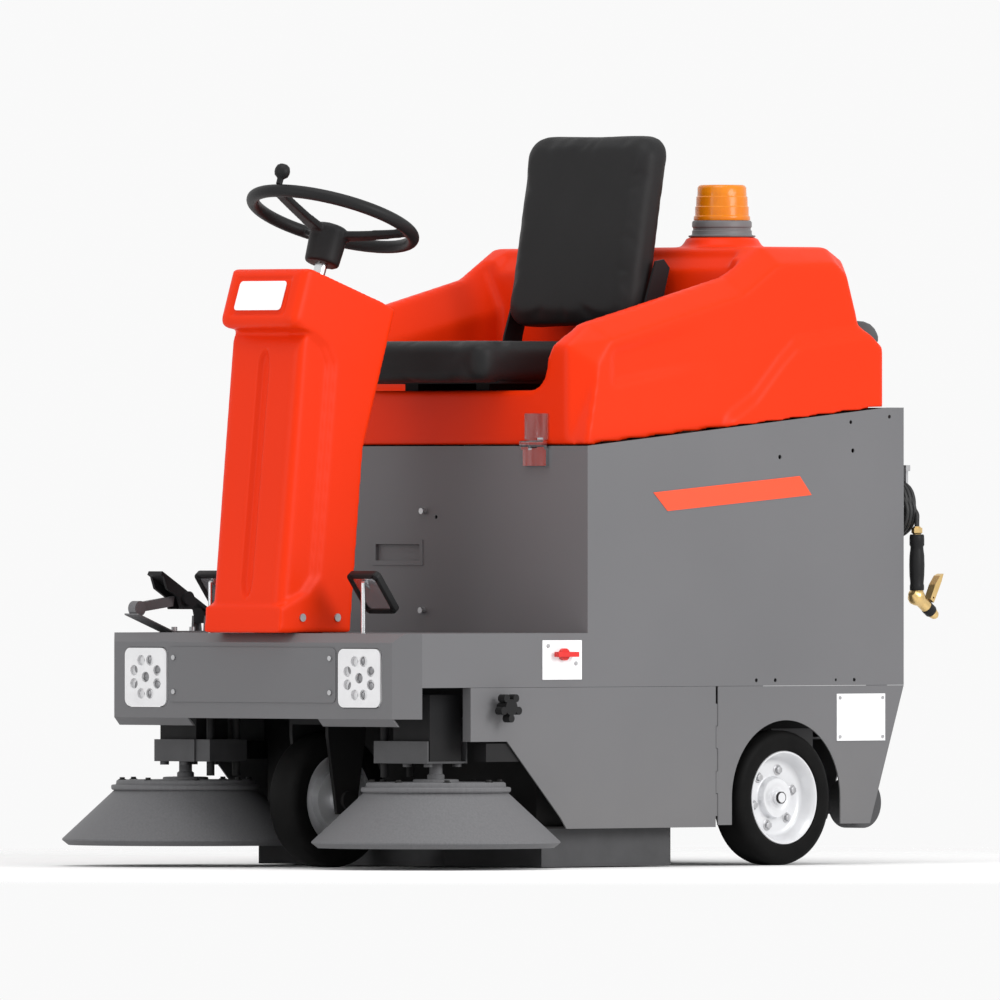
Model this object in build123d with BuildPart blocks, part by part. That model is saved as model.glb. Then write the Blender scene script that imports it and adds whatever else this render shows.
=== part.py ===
from build123d import *
import os
from math import atan2, cos, radians, sin, tan

# Ride-on floor sweeper. Millimetres, +Z up, +X the machine's left, the front faces -Y.
# Lengthwise places are given as a distance aft of the bumper's front face.

# ---- driving dimensions ----------------------------------------------------------------------------
front_y = -713.8            # bumper's front face, set so that the whole machine is centred on the origin
body_width = 870.0
body_length = 1405.0
platform_length = 505.0     # foot deck, from the bumper to the body's front panel
deck_top = 466.0
seam_z = 359.0              # between the upper side panels and the doors
hood_seam_front_z = 838.0
hood_seam_rear_z = 916.0
hood_knee = 1357.0          # where the hood's seam turns level
sheet = 3.0
deck_sheet = 4.0
panel_gap = 0.5
running_fit = 0.05
slide_gap = 0.3

half_width = body_width / 2
inner_half = half_width - sheet
deck_under = deck_top - deck_sheet


def aft(distance):
    """Y of a place this far behind the bumper's front face."""
    return front_y + distance


def span(side, low, high):
    """The x range low..high on the left (side 1) or mirrored to the right (side -1)."""
    return tuple(sorted((side * low, side * high)))


def block(x, y, z, mode=Mode.ADD):
    """Box between two corners, with y measured aft of the bumper."""
    with Locations((sum(x) / 2, aft(sum(y) / 2), sum(z) / 2)):
        Box(x[1] - x[0], y[1] - y[0], z[1] - z[0], mode=mode)


def profile(points, x, mode=Mode.ADD, inset=0.0):
    """Prism of a side outline of (distance aft, height) points between two x places."""
    with BuildSketch(Plane.YZ.offset(x[0])) as face:
        Polygon(*[(aft(distance), z) for distance, z in points], align=None)
        if inset:
            offset(amount=-inset, kind=Kind.INTERSECTION)
    extrude(face.sketch, amount=x[1] - x[0], mode=mode)


def rod_x(radius, x, distance, z, mode=Mode.ADD):
    """Cylinder along X."""
    with Locations(Location(((x[0] + x[1]) / 2, aft(distance), z), (0, 90, 0))):
        Cylinder(radius, x[1] - x[0], mode=mode)


def rod_y(radius, x, y, z, mode=Mode.ADD):
    """Cylinder along Y."""
    with Locations(Location((x, aft(sum(y) / 2), z), (90, 0, 0))):
        Cylinder(radius, y[1] - y[0], mode=mode)


def rod_z(radius, x, distance, z, mode=Mode.ADD):
    """Upright cylinder."""
    with Locations((x, aft(distance), (z[0] + z[1]) / 2)):
        Cylinder(radius, z[1] - z[0], mode=mode)


def turned_x(points, distance, z, mode=Mode.ADD):
    """Solid turned about an axis along X, from (x, radius) points."""
    with BuildSketch(Plane(origin=(0, aft(distance), z), x_dir=(1, 0, 0), z_dir=(0, -1, 0))) as face:
        Polygon(*points, align=None)
    revolve(face.sketch, axis=Axis((0, aft(distance), z), (1, 0, 0)), mode=mode)


def turned_z(points, x, distance, mode=Mode.ADD):
    """Solid turned about an upright axis, from (radius, z) points."""
    with BuildSketch(Plane(origin=(x, aft(distance), 0), x_dir=(1, 0, 0), z_dir=(0, -1, 0))) as face:
        Polygon(*points, align=None)
    revolve(face.sketch, axis=Axis((x, aft(distance), 0), (0, 0, 1)), mode=mode)


def save(part, name):
    part.label = name
    export_step(part, f"parts/{name}.step")


os.makedirs("parts", exist_ok=True)
sides = (("left", 1), ("right", -1))

# ---- wheels, forks and steering sizes --------------------------------------------------------------
fork_station = 209.0
front_wheel_radius = 134.0
front_tyre_width = 78.0
front_rim_radius = 92.0
rear_station = 1068.0
rear_wheel_radius = 135.0
rear_tyre_width = 80.0
rear_rim_radius = 94.0
wheel_proud = 2.0           # rear wheels stand inside the panels by this much
axle_radius = 12.0
kingpin_radius = 22.0
column_station = 100.0
column_shaft_radius = 10.0
joint_z = 940.0
steering_wheel_station = 224.0
steering_wheel_z = 1289.0
steering_wheel_radius = 164.0
rim_tube = 13.0
shaft_radius = 12.5
steering_lean = 19.6        # the wheel's axis leans aft by this many degrees
sprocket_z = (404.0, 412.0)
head_plate_z = (388.0, 400.0)

# ---- brushes -----------------------------------------------------------------------------------------
brush_station = 571.0
brush_radius = 140.0
brush_half_length = 370.0
brush_z = 142.0
side_brush_x = 354.0
side_brush_station = 160.6
side_brush_radius = 246.0
side_brush_lift = 42.0
channel_z = (209.0, 253.0)
chamber_half = 380.0
chamber_y = (416.0, 726.0)
skirt_y = (351.0, 792.0)
skirt_half = 400.0

# ---- frame -------------------------------------------------------------------------------------------
rail_inner = half_width - 127.0
rail_width = 36.0
rail_outer = rail_inner + rail_width
rail_z = (296.0, 356.0)
rail_wall = 6.0
front_rail = (140.0, 180.0)
front_rail_z = 400.0
tray_z = 386.0
bay_top = rail_z[1]
post = 30.0
rear_frame_y = (1330.0, 1360.0)
shelf_z = 560.0
mast_x = (60.0, 66.0)
hopper_half = rail_inner - 22.0
guide_x = 246.0
guide_pitch = 36.0
guide_radius = 8.0

with BuildPart() as chassis_frame:
    for name, side in sides:
        block(span(side, rail_inner, rail_outer), (440, rear_frame_y[1]), rail_z)
        block(span(side, rail_inner - 1, rail_outer - rail_wall), (500, rear_frame_y[1] + 1),
              (rail_z[0] + rail_wall, rail_z[1] - rail_wall), Mode.SUBTRACT)
        block(span(side, *front_rail), (56, 472), (front_rail_z, deck_under))
        # outriggers and posts that the body's sheets are fixed to
        block(span(side, rail_outer - 2, inner_half), (508, 538), rail_z)
        block(span(side, inner_half - post, inner_half), (platform_length + sheet, 538),
              (rail_z[0], hood_seam_front_z - 10))
        block(span(side, rail_outer - 2, inner_half), (880, 900), rail_z)
        block(span(side, rail_outer - 2, inner_half), rear_frame_y, rail_z)
        block(span(side, inner_half - post, inner_half), rear_frame_y, (rail_z[0], shelf_z))
        block(span(side, inner_half - post, inner_half), (rear_frame_y[0], body_length - sheet),
              (shelf_z - post, shelf_z))
        block(span(side, inner_half - post, inner_half), (body_length - sheet - post, body_length - sheet),
              (shelf_z - post, hood_seam_rear_z - 20))
        # ledge that the hopper's flange slides on
        block(span(side, hopper_half + 6, rail_inner + 8), (806, 1355), (rail_z[0] - 24, rail_z[0] - 20))
        block(span(side, rail_inner + 4, rail_inner + 8), (806, 1355), (rail_z[0] - 24, rail_z[0]))
        # rear axle plate and stub axle
        block(span(side, rail_outer - 18, rail_outer), (rear_station - 50, rear_station + 50), (95, rail_z[0]))
        rod_x(axle_radius, span(side, rail_outer - 1, half_width - 12), rear_station, rear_wheel_radius)
        # sill beside the main brush
        block(span(side, chamber_half + 16, inner_half - 2), (225, 472), (212, 248))
        block(span(side, chamber_half + 16, inner_half - 2), (456, 472), (212, rail_z[0] + 1))
        # guide rods of the side brush
        block(span(side, front_rail[1] - 2, guide_x + 16), (side_brush_station - 52, side_brush_station + 52),
              (front_rail_z, front_rail_z + 12))
        for offset_y in (-guide_pitch, guide_pitch):
            rod_z(guide_radius, side * guide_x, side_brush_station + offset_y, (181, front_rail_z + 1))
        # nothing of the frame touches a closed door
        block(span(side, inner_half - 1, inner_half + 1), (400, 868), (rail_z[0] - 100, seam_z + 0.5),
              Mode.SUBTRACT)
        # steering mast
        profile([(70, front_rail_z), (130, front_rail_z), (130, 900), (190, 1100), (130, 1120), (70, joint_z)],
                span(side, *mast_x))
    block((-inner_half, inner_half), (56, 78), (front_rail_z, deck_under))
    block((-inner_half, inner_half), (464, 472), (seam_z + 1, deck_under))
    block((1 - inner_half, inner_half - 1), (464, 472), (rail_z[0], seam_z + 2))
    block((-inner_half, inner_half), (body_length - sheet - post, body_length - sheet),
          (shelf_z - post, shelf_z))
    block((-200, 200), (1110, body_length - sheet), (shelf_z - 4, shelf_z))
    # battery tray and its bearers
    for start in (565, 870, 940, 1070):
        block((-rail_outer, rail_outer), (start, start + 25), (rail_z[1], tray_z))
    block((-rail_outer, rail_outer), (560, 900), (tray_z, tray_z + 4))
    # steering head
    block((-front_rail[1], front_rail[1]), (column_station - 30, fork_station + 62), head_plate_z)
    rod_z(kingpin_radius + 18, 0, fork_station, (300, head_plate_z[1]))
    rod_z(kingpin_radius + running_fit, 0, fork_station, (299, head_plate_z[1] + 1), Mode.SUBTRACT)
    for bearing_z in ((510, 530), (860, 880)):
        block((-mast_x[0] - 1, mast_x[0] + 1), (70, 130), bearing_z)
    rod_z(column_shaft_radius + running_fit, 0, column_station, (head_plate_z[0] - 1, 885), Mode.SUBTRACT)
    with Locations(Location((0, aft(steering_wheel_station - 195 * tan(radians(steering_lean))),
                             steering_wheel_z - 195), (-steering_lean, 0, 0))):
        Box(2 * mast_x[0] + 2, 46, 24)
        Cylinder(shaft_radius + running_fit, 60, mode=Mode.SUBTRACT)
save(chassis_frame.part, "chassis_frame")

# ---- front platform: folded bumper and foot deck, with the accelerator's base -------------------------
bumper_bottom = 297.0
corner = 42.0
strip = 18.0
lamp_x = 302.0
lamp_z = 378.0
lamp_size = (125.0, 119.0)
lamp_corner = 18.0
small_pedal_x = 216.0
small_pedal_station = 95.0
small_pedal_pivot_z = 448.0
rod_radius = 4.5
accelerator_x = (-380.0, -340.0)
accelerator_pivot = (213.0, 490.0)
lip = (184.0, half_width - corner)

with BuildPart() as front_platform:
    with BuildSketch(Plane.XY.offset(bumper_bottom)):
        Polygon((-half_width, aft(corner)), (corner - half_width, aft(0)), (half_width - corner, aft(0)),
                (half_width, aft(corner)), align=None)
    extrude(amount=deck_top - bumper_bottom)
    chamfer(front_platform.edges().filter_by(Axis.X).group_by(Axis.Z)[-1].sort_by(Axis.Y)[0], length=strip)
    turn = deck_sheet * tan(radians(22.5))
    for depth, top in ((deck_sheet, deck_top - strip - 2), (strip + deck_sheet + 2, deck_under)):
        with BuildSketch(Plane.XY.offset(bumper_bottom - 1)):
            Polygon((deck_sheet - half_width, aft(corner + 1)), (deck_sheet - half_width, aft(corner + turn)),
                    (depth + corner - half_width + turn - deck_sheet, aft(depth)),
                    (half_width - corner - turn + deck_sheet - depth, aft(depth)),
                    (half_width - deck_sheet, aft(corner + turn)), (half_width - deck_sheet, aft(corner + 1)),
                    align=None)
        extrude(amount=top - bumper_bottom + 1, mode=Mode.SUBTRACT)
    block((-inner_half, inner_half), (corner - 1, platform_length), (deck_under, deck_top))
    for name, side in sides:
        profile([(0, bumper_bottom + 0.5), (5.6, bumper_bottom + 0.5), (20.6, 282), (15, 282)], span(side, *lip))
    block((-mast_x[1] - 4, mast_x[1] + 4), (66, 136), (deck_under - 1, deck_top + 1), Mode.SUBTRACT)
    with BuildSketch(Plane(origin=(0, aft(-1), 0), x_dir=(1, 0, 0), z_dir=(0, -1, 0))):
        with Locations((-lamp_x, lamp_z), (lamp_x, lamp_z)):
            RectangleRounded(*lamp_size, lamp_corner)
    extrude(amount=-deck_sheet - 3, mode=Mode.SUBTRACT)
    # slots and pivot lugs of the two small pedals
    for name, side in sides:
        block(span(side, small_pedal_x - 7, small_pedal_x + 7),
              (small_pedal_station - 16, small_pedal_station + 16), (deck_under - 1, deck_top + 1), Mode.SUBTRACT)
        for ear in (-18, 12):
            block(span(side, small_pedal_x + ear, small_pedal_x + ear + 6),
                  (small_pedal_station - 10, small_pedal_station + 10), (small_pedal_pivot_z - 9, deck_under))
        rod_x(4 + running_fit, span(side, small_pedal_x - 19, small_pedal_x + 19), small_pedal_station,
              small_pedal_pivot_z, Mode.SUBTRACT)
    # accelerator base: foot plate, ramp with its return roller, and two pivot ears
    block(accelerator_x, (114, 226), (deck_top, deck_top + 3))
    profile([(116, deck_top), (114, deck_top + 3), (16, 504), (16, 501)], accelerator_x)
    rod_x(15, (accelerator_x[0] + 10, accelerator_x[1] - 10), 31, 514)
    profile([(130, 538), (34, 526), (30, 506), (126, 518)], (accelerator_x[0] + 14, accelerator_x[1] - 14))
    for start in (accelerator_x[0], accelerator_x[1] - 6):
        profile([(202, deck_top + 3), (226, deck_top + 3), (222, 499), (204, 499)], (start, start + 6))
    rod_x(4 + running_fit, (accelerator_x[0] - 1, accelerator_x[1] + 1), *accelerator_pivot, Mode.SUBTRACT)
save(front_platform.part, "front_platform")

cover_z = (329.0, 438.0)
cover_half = 236.0
with BuildPart() as bumper_cover:
    with BuildSketch(Plane(origin=(0, aft(0), sum(cover_z) / 2), x_dir=(1, 0, 0), z_dir=(0, -1, 0))):
        RectangleRounded(2 * cover_half, cover_z[1] - cover_z[0], 12)
    extrude(amount=2)
save(bumper_cover.part, "bumper_cover")

lamp_depth = 46.0
cup_radius = 10.5
cup_places = [(0, 0)] + [(sx * x, sz * z) for x, z in ((12.5, 33.0), (32.7, 13.0)) for sx in (-1, 1)
                         for sz in (-1, 1)]
with BuildPart() as headlights:
    front = Plane(origin=(0, aft(-2), 0), x_dir=(1, 0, 0), z_dir=(0, -1, 0))
    with BuildSketch(front):
        with Locations((-lamp_x, lamp_z), (lamp_x, lamp_z)):
            RectangleRounded(lamp_size[0] - 7, lamp_size[1] - 3, lamp_corner - 3)
    extrude(amount=-lamp_depth)
    with BuildSketch(front):
        with Locations((-lamp_x, lamp_z), (lamp_x, lamp_z)):
            with Locations(*cup_places):
                Circle(cup_radius)
    extrude(amount=-7, mode=Mode.SUBTRACT)
    for name, side in sides:
        # bracket back to the front cross member
        block(span(side, lamp_x - 12, lamp_x + 12), (lamp_depth - 3, 56), (front_rail_z + 2, front_rail_z + 30))
save(headlights.part, "headlights")

# ---- body sheets ---------------------------------------------------------------------------------------
pull_x = (-170.0, -28.0)
pull_z = (600.0, 651.0)
with BuildPart() as front_panel:
    block((-inner_half, inner_half), (platform_length, platform_length + sheet),
          (deck_top, hood_seam_front_z - panel_gap))
    # recessed pull with a raised border
    block(pull_x, (platform_length - 2, platform_length + 9), pull_z)
    block((pull_x[0] + 9, pull_x[1] - 9), (platform_length - 3, platform_length + 6),
          (pull_z[0] + 9, pull_z[1] - 9), Mode.SUBTRACT)
    rod_y(4, 8.4, (platform_length - 1, platform_length + 4), 696, Mode.SUBTRACT)
save(front_panel.part, "front_panel")

side_holes = ((1050, 816, 4.5), (1259, 829, 4.5), (1253, 886, 4), (1364, 897, 4), (983, 370, 4),
              (1037, 370, 4), (1210, 370, 3), (1263, 370, 4))
for name, side in sides:
    with BuildPart() as side_panel:
        profile([(corner, seam_z), (corner, deck_top), (platform_length, deck_top),
                 (platform_length, hood_seam_front_z - panel_gap), (hood_knee, hood_seam_rear_z - panel_gap),
                 (body_length, hood_seam_rear_z - panel_gap), (body_length, seam_z)],
                span(side, inner_half, half_width))
        for distance, z, radius in side_holes:
            rod_x(radius, span(side, inner_half - 1, half_width + 1), distance, z, Mode.SUBTRACT)
    save(side_panel.part, f"side_panel_{name}")

outlet_x = 326.0
outlet_z = 712.0
with BuildPart() as rear_panel:
    block((-inner_half, inner_half), (body_length - sheet, body_length), (seam_z, hood_seam_rear_z - panel_gap))
    # hose outlet fitting and louvres for the fan's exhaust
    rod_y(9, outlet_x, (body_length - 12, body_length + 5), outlet_z)
    for row in range(7):
        block((-150, 150), (body_length - 4, body_length + 1), (640 + 26 * row, 648 + 26 * row), Mode.SUBTRACT)
save(rear_panel.part, "rear_panel")

# ---- side doors, hinged at their rear edge, and the quarter panels -------------------------------------
door_front = 177.0
door_bottom = 78.0
hinge_station = 870.5
hinge_radius = 2.4
hinge_x = half_width - 1.8
hinge_clear = 3.3
knuckle = 44.0
door_return = 22.0
arch_radius = 155.0
knob_place = (258.0, 320.0)
stud_radius = 5.0
door_outline = [(door_front, seam_z - panel_gap), (door_front, 252), (279, 252), (429, 100),
                (446, door_bottom), (hinge_station - hinge_clear, door_bottom),
                (hinge_station - hinge_clear, seam_z - panel_gap)]

for name, side in sides:
    skin = span(side, inner_half, half_width)
    with BuildPart() as door:
        profile(door_outline, skin)
        block(span(side, half_width - door_return, half_width), (door_front, door_front + sheet),
              (252, seam_z - panel_gap))
        for start in (100, 190, 280):
            block(skin, (hinge_station - hinge_clear - 0.5, hinge_station), (start, start + knuckle))
            rod_z(hinge_radius, side * hinge_x, hinge_station, (start, start + knuckle))
        rod_x(stud_radius + running_fit, span(side, inner_half - 1, half_width + 1), *knob_place, Mode.SUBTRACT)
    save(door.part, f"door_{name}")

    with BuildPart() as quarter:
        profile([(hinge_station + hinge_clear, seam_z - panel_gap), (body_length, seam_z - panel_gap),
                 (1308, 82), (hinge_station + hinge_clear, 82)], skin)
        rod_x(arch_radius, span(side, inner_half - 1, half_width + 1), rear_station, rear_wheel_radius,
              Mode.SUBTRACT)
        block(span(side, inner_half - 1, half_width + 1), (rear_station - arch_radius, rear_station + arch_radius),
              (60, rear_wheel_radius), Mode.SUBTRACT)
        for start in (145, 235):
            block(skin, (hinge_station, hinge_station + hinge_clear + 0.5), (start, start + knuckle))
            rod_z(hinge_radius, side * hinge_x, hinge_station, (start, start + knuckle))
    save(quarter.part, f"quarter_panel_{name}")

    with BuildPart() as knob:
        rod_x(stud_radius, span(side, inner_half - 16, half_width + 8), *knob_place)
        rod_x(9, span(side, half_width + slide_gap, half_width + 16), *knob_place)
        rod_x(16, span(side, half_width + 12, half_width + 34), *knob_place)
        with Locations(Location((side * (half_width + 25), aft(knob_place[0]), knob_place[1]), (0, 90, 0))):
            with PolarLocations(22, 5):
                Cylinder(8, 18)
    save(knob.part, f"door_knob_{name}")

# ---- white plates: badge blank, isolator plate and rating plate ----------------------------------------
isolator_y = (377.0, 487.0)
isolator_z = (374.0, 452.0)
key_place = (433.0, 424.0)
key_bore = 7.0
plate = 1.5
rating_y = (1212.0, 1350.0)
rating_z = (248.0, 342.0)

# ---- steering column cover --------------------------------------------------------------------------------
cover_half_width = 108.0
cover_wall = 5.0
column_outline = [(-26, deck_top), (36, 1038), (2, 1076), (44, 1194), (260, 1123), (294, 1108), (204, 832),
                  (168, deck_top)]


def shaft_place(down):
    """Point on the steering shaft's axis, this far down from the wheel's centre, as (y, z)."""
    lean = radians(steering_lean)
    return aft(steering_wheel_station) - down * sin(lean), steering_wheel_z - down * cos(lean)


shaft_y, shaft_z = shaft_place(0)
wheel_plane = Plane(origin=(0, shaft_y, shaft_z), x_dir=(1, 0, 0),
                    z_dir=(0, sin(radians(steering_lean)), cos(radians(steering_lean))))
joint_down = (steering_wheel_z - joint_z) / cos(radians(steering_lean))

with BuildPart() as column_cover:
    profile(column_outline, (-cover_half_width, cover_half_width))
    fillet(column_cover.edges().filter_by(lambda e: abs(e.center().X) > cover_half_width - 1
                                          and e.center().Y < aft(30) and e.center().Z > deck_top + 1), 16)
    profile(column_outline, (cover_wall - cover_half_width, cover_half_width - cover_wall), Mode.SUBTRACT,
            inset=cover_wall)
    block((cover_wall - cover_half_width, cover_half_width - cover_wall), (-19, 162),
          (deck_top - 1, deck_top + 12), Mode.SUBTRACT)
    with Locations(wheel_plane.offset(-150)):
        Cylinder(shaft_radius + 3, 60, mode=Mode.SUBTRACT)
save(column_cover.part, "column_cover")

chin, brow = column_outline[2], column_outline[3]
head_lean = atan2(brow[0] - chin[0], brow[1] - chin[1])
badge_plane = Plane(origin=(0, aft((chin[0] + brow[0]) / 2), (chin[1] + brow[1]) / 2), x_dir=(1, 0, 0),
                    z_dir=(0, -cos(head_lean), sin(head_lean))).offset(0.02)
with BuildPart() as white_plates:
    with BuildSketch(badge_plane):
        RectangleRounded(131, 61, 8)
    extrude(amount=plate)
    block((half_width, half_width + plate), isolator_y, isolator_z)
    rod_x(key_bore + 0.5, (half_width - 1, half_width + plate + 1), *key_place, Mode.SUBTRACT)
    block((half_width, half_width + plate), rating_y, rating_z)
save(white_plates.part, "white_plates")

with BuildPart() as isolator_key:
    rod_x(12, (half_width + plate + slide_gap, half_width + plate + 9), *key_place)
    block((half_width + plate + 6, half_width + plate + 18), (key_place[0] - 29, key_place[0] + 29),
          (key_place[1] - 5, key_place[1] + 5))
save(isolator_key.part, "isolator_key")

# ---- steering --------------------------------------------------------------------------------------------------
hub_top = -18.0
hub_bottom = -98.0
spoke_angles = (-90.0, 30.0, 150.0)
with BuildPart() as steering_wheel:
    with Locations(wheel_plane):
        Torus(steering_wheel_radius, rim_tube)
    with Locations(wheel_plane.offset((hub_top + hub_bottom) / 2)):
        Cone(34, 40, hub_top - hub_bottom)
    for angle in spoke_angles:
        turn = radians(angle)
        spoke_start = wheel_plane.from_local_coords((24 * cos(turn), 24 * sin(turn), hub_top - 16))
        spoke_end = wheel_plane.from_local_coords((steering_wheel_radius * cos(turn),
                                                   steering_wheel_radius * sin(turn), -1))
        with BuildLine():
            spoke_line = Line(spoke_start, spoke_end)
        with BuildSketch(Plane(origin=spoke_line @ 0, z_dir=spoke_line % 0)):
            Circle(9)
        sweep(path=spoke_line)
    with Locations(wheel_plane.offset(hub_bottom)):
        Cylinder(shaft_radius + running_fit, 100, mode=Mode.SUBTRACT)
save(steering_wheel.part, "steering_wheel")

joint_ball = 13.0
with BuildPart() as steering_shaft:
    with Locations(wheel_plane.offset(-(joint_down + 52) / 2)):
        Cylinder(shaft_radius, joint_down - 52)
    with Locations(wheel_plane.offset(-joint_down)):
        Sphere(joint_ball)
save(steering_shaft.part, "steering_shaft")

knob_height = 40.0
knob_radius = 15.5
with BuildPart() as spinner_knob:
    with Locations(wheel_plane):
        with Locations((0, -steering_wheel_radius, knob_height)):
            Sphere(knob_radius)
        with Locations((0, -steering_wheel_radius, (rim_tube + knob_height) / 2 + slide_gap)):
            Cylinder(6.5, knob_height - rim_tube)
save(spinner_knob.part, "spinner_knob")

small_sprocket = 18.0
large_sprocket = 54.0
with BuildPart() as column_shaft:
    rod_z(column_shaft_radius, 0, column_station, (head_plate_z[0] - 8, joint_z - joint_ball - slide_gap))
    rod_z(16, 0, column_station, (joint_z - joint_ball - 26, joint_z - joint_ball - slide_gap))
    rod_z(small_sprocket, 0, column_station, sprocket_z)
save(column_shaft.part, "column_shaft")

leg_x = (front_tyre_width / 2 + 8, front_tyre_width / 2 + 16)
crown_z = (284.0, 298.0)
with BuildPart() as steering_fork:
    rod_z(kingpin_radius, 0, fork_station, (crown_z[0] + 2, sprocket_z[0] + 14))
    rod_z(large_sprocket, 0, fork_station, sprocket_z)
    block((-leg_x[1], leg_x[1]), (fork_station - 52, fork_station + 52), crown_z)
    for name, side in sides:
        profile([(fork_station - 52, crown_z[1]), (fork_station + 52, crown_z[1]), (fork_station + 52, 262),
                 (fork_station + 26, 106), (fork_station - 26, 106), (fork_station - 52, 262)],
                span(side, *leg_x))
        rod_x(18, span(side, leg_x[1] - 1, leg_x[1] + 8), fork_station, front_wheel_radius)
    rod_x(axle_radius, (-leg_x[1], leg_x[1]), fork_station, front_wheel_radius)
save(steering_fork.part, "steering_fork")

with BuildPart() as front_hub:
    rod_x(front_rim_radius, (-30, 30), fork_station, front_wheel_radius)
    rod_x(front_rim_radius - 8, (-31, -12), fork_station, front_wheel_radius, Mode.SUBTRACT)
    rod_x(front_rim_radius - 8, (12, 31), fork_station, front_wheel_radius, Mode.SUBTRACT)
    rod_x(56, (-30, 30), fork_station, front_wheel_radius)
    rod_x(22, (slide_gap - leg_x[0], leg_x[0] - slide_gap), fork_station, front_wheel_radius)
    rod_x(axle_radius + running_fit, (-60, 60), fork_station, front_wheel_radius, Mode.SUBTRACT)
save(front_hub.part, "front_hub")

shoulder = 9.0
tyre_seat = 0.3


def tyre_points(low, high, bore, radius):
    """Half section of a tyre with bevelled shoulders, as (x, radius)."""
    return [(low, bore), (low, radius - 1.6 * shoulder), (low + shoulder, radius), (high - shoulder, radius),
            (high, radius - 1.6 * shoulder), (high, bore)]


with BuildPart() as front_tyre:
    turned_x(tyre_points(-front_tyre_width / 2, front_tyre_width / 2, front_rim_radius + tyre_seat,
                         front_wheel_radius), fork_station, front_wheel_radius)
save(front_tyre.part, "front_tyre")

wheel_outer = half_width - wheel_proud
wheel_inner = wheel_outer - rear_tyre_width
rim_wall = 5.0
dish = 34.0
bolt_circle = 55.0
for name, side in sides:
    with BuildPart() as rear_tyre:
        edge = span(side, wheel_inner, wheel_outer)
        turned_x(tyre_points(edge[0], edge[1], rear_rim_radius + tyre_seat, rear_wheel_radius), rear_station,
                 rear_wheel_radius)
    save(rear_tyre.part, f"rear_tyre_{name}")

    with BuildPart() as rear_rim:
        rod_x(rear_rim_radius, span(side, wheel_inner + 3, wheel_outer - 3), rear_station, rear_wheel_radius)
        rod_x(rear_rim_radius - rim_wall, span(side, wheel_inner, wheel_outer - 3 - dish - 6), rear_station,
              rear_wheel_radius, Mode.SUBTRACT)
        rod_x(rear_rim_radius - rim_wall, span(side, wheel_outer - 3 - dish, wheel_outer), rear_station,
              rear_wheel_radius, Mode.SUBTRACT)
        rod_x(40, span(side, wheel_outer - 3 - dish - 1, wheel_outer - 22), rear_station, rear_wheel_radius)
        rod_x(24, span(side, wheel_inner + 1, wheel_outer - 3 - dish), rear_station, rear_wheel_radius)
        with Locations(Location((side * (wheel_outer - 32), aft(rear_station), rear_wheel_radius), (0, 90, 0))):
            with PolarLocations(bolt_circle, 6):
                Cylinder(8, 14)
        rod_x(axle_radius + running_fit, span(side, wheel_inner - 1, half_width), rear_station,
              rear_wheel_radius, Mode.SUBTRACT)
    save(rear_rim.part, f"rear_rim_{name}")

# ---- main brush, its chamber and skirts -------------------------------------------------------------------------
shaft_stub = 12.0
flange_z = (78.0, 82.0)
with BuildPart() as main_brush:
    rod_x(70, (-brush_half_length, brush_half_length), brush_station, brush_z)
    with Locations(Location((0, aft(brush_station), brush_z), (0, 90, 0))):
        with PolarLocations(brush_radius / 2 + 30, 12):
            Box(brush_radius - 60, 26, 2 * brush_half_length)
    with BuildSketch(Plane.YZ.offset(-brush_half_length - 1)):
        with Locations((aft(brush_station), brush_z)):
            Circle(brush_radius)
    extrude(amount=2 * brush_half_length + 2, mode=Mode.INTERSECT)
    rod_x(shaft_stub, (-chamber_half - 12, chamber_half + 4), brush_station, brush_z)
save(main_brush.part, "main_brush")

with BuildSketch() as skirt_outline:
    with Locations((0, aft(sum(skirt_y) / 2))):
        RectangleRounded(2 * skirt_half, skirt_y[1] - skirt_y[0], 30)
    with Locations(*[(x, aft(side_brush_station)) for x in (-side_brush_x, side_brush_x)]):
        Circle(side_brush_radius + 8, mode=Mode.SUBTRACT)

with BuildPart() as brush_chamber:
    block((-chamber_half, chamber_half), chamber_y, (flange_z[0], rail_z[0]))
    block((deck_sheet - chamber_half, chamber_half - deck_sheet),
          (chamber_y[0] + deck_sheet, chamber_y[1] - deck_sheet), (flange_z[0] - 1, rail_z[0] - deck_sheet),
          Mode.SUBTRACT)
    block((-280, 280), (chamber_y[1] - deck_sheet - 1, chamber_y[1] + 1), (95, 205), Mode.SUBTRACT)
    extrude(skirt_outline.sketch.moved(Location((0, 0, flange_z[0]))), amount=flange_z[1] - flange_z[0])
    block((deck_sheet - chamber_half, chamber_half - deck_sheet),
          (chamber_y[0] + deck_sheet, chamber_y[1] - deck_sheet), (flange_z[0] - 1, flange_z[1] + 1),
          Mode.SUBTRACT)
    rod_x(shaft_stub + running_fit, (-chamber_half - 1, chamber_half + 1), brush_station, brush_z,
          Mode.SUBTRACT)
save(brush_chamber.part, "brush_chamber")

with BuildPart() as chamber_skirts:
    with BuildSketch(Plane.XY.offset(2)):
        add(skirt_outline.sketch)
        offset(skirt_outline.sketch, amount=-5, mode=Mode.SUBTRACT)
    extrude(amount=flange_z[0] - 2)
save(chamber_skirts.part, "chamber_skirts")

with BuildPart() as brush_motor:
    rod_x(56, (-inner_half + 4, -chamber_half), brush_station, brush_z)
    rod_x(shaft_stub + running_fit, (-chamber_half - 16, -chamber_half + 1), brush_station, brush_z,
          Mode.SUBTRACT)
save(brush_motor.part, "main_brush_motor")

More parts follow.
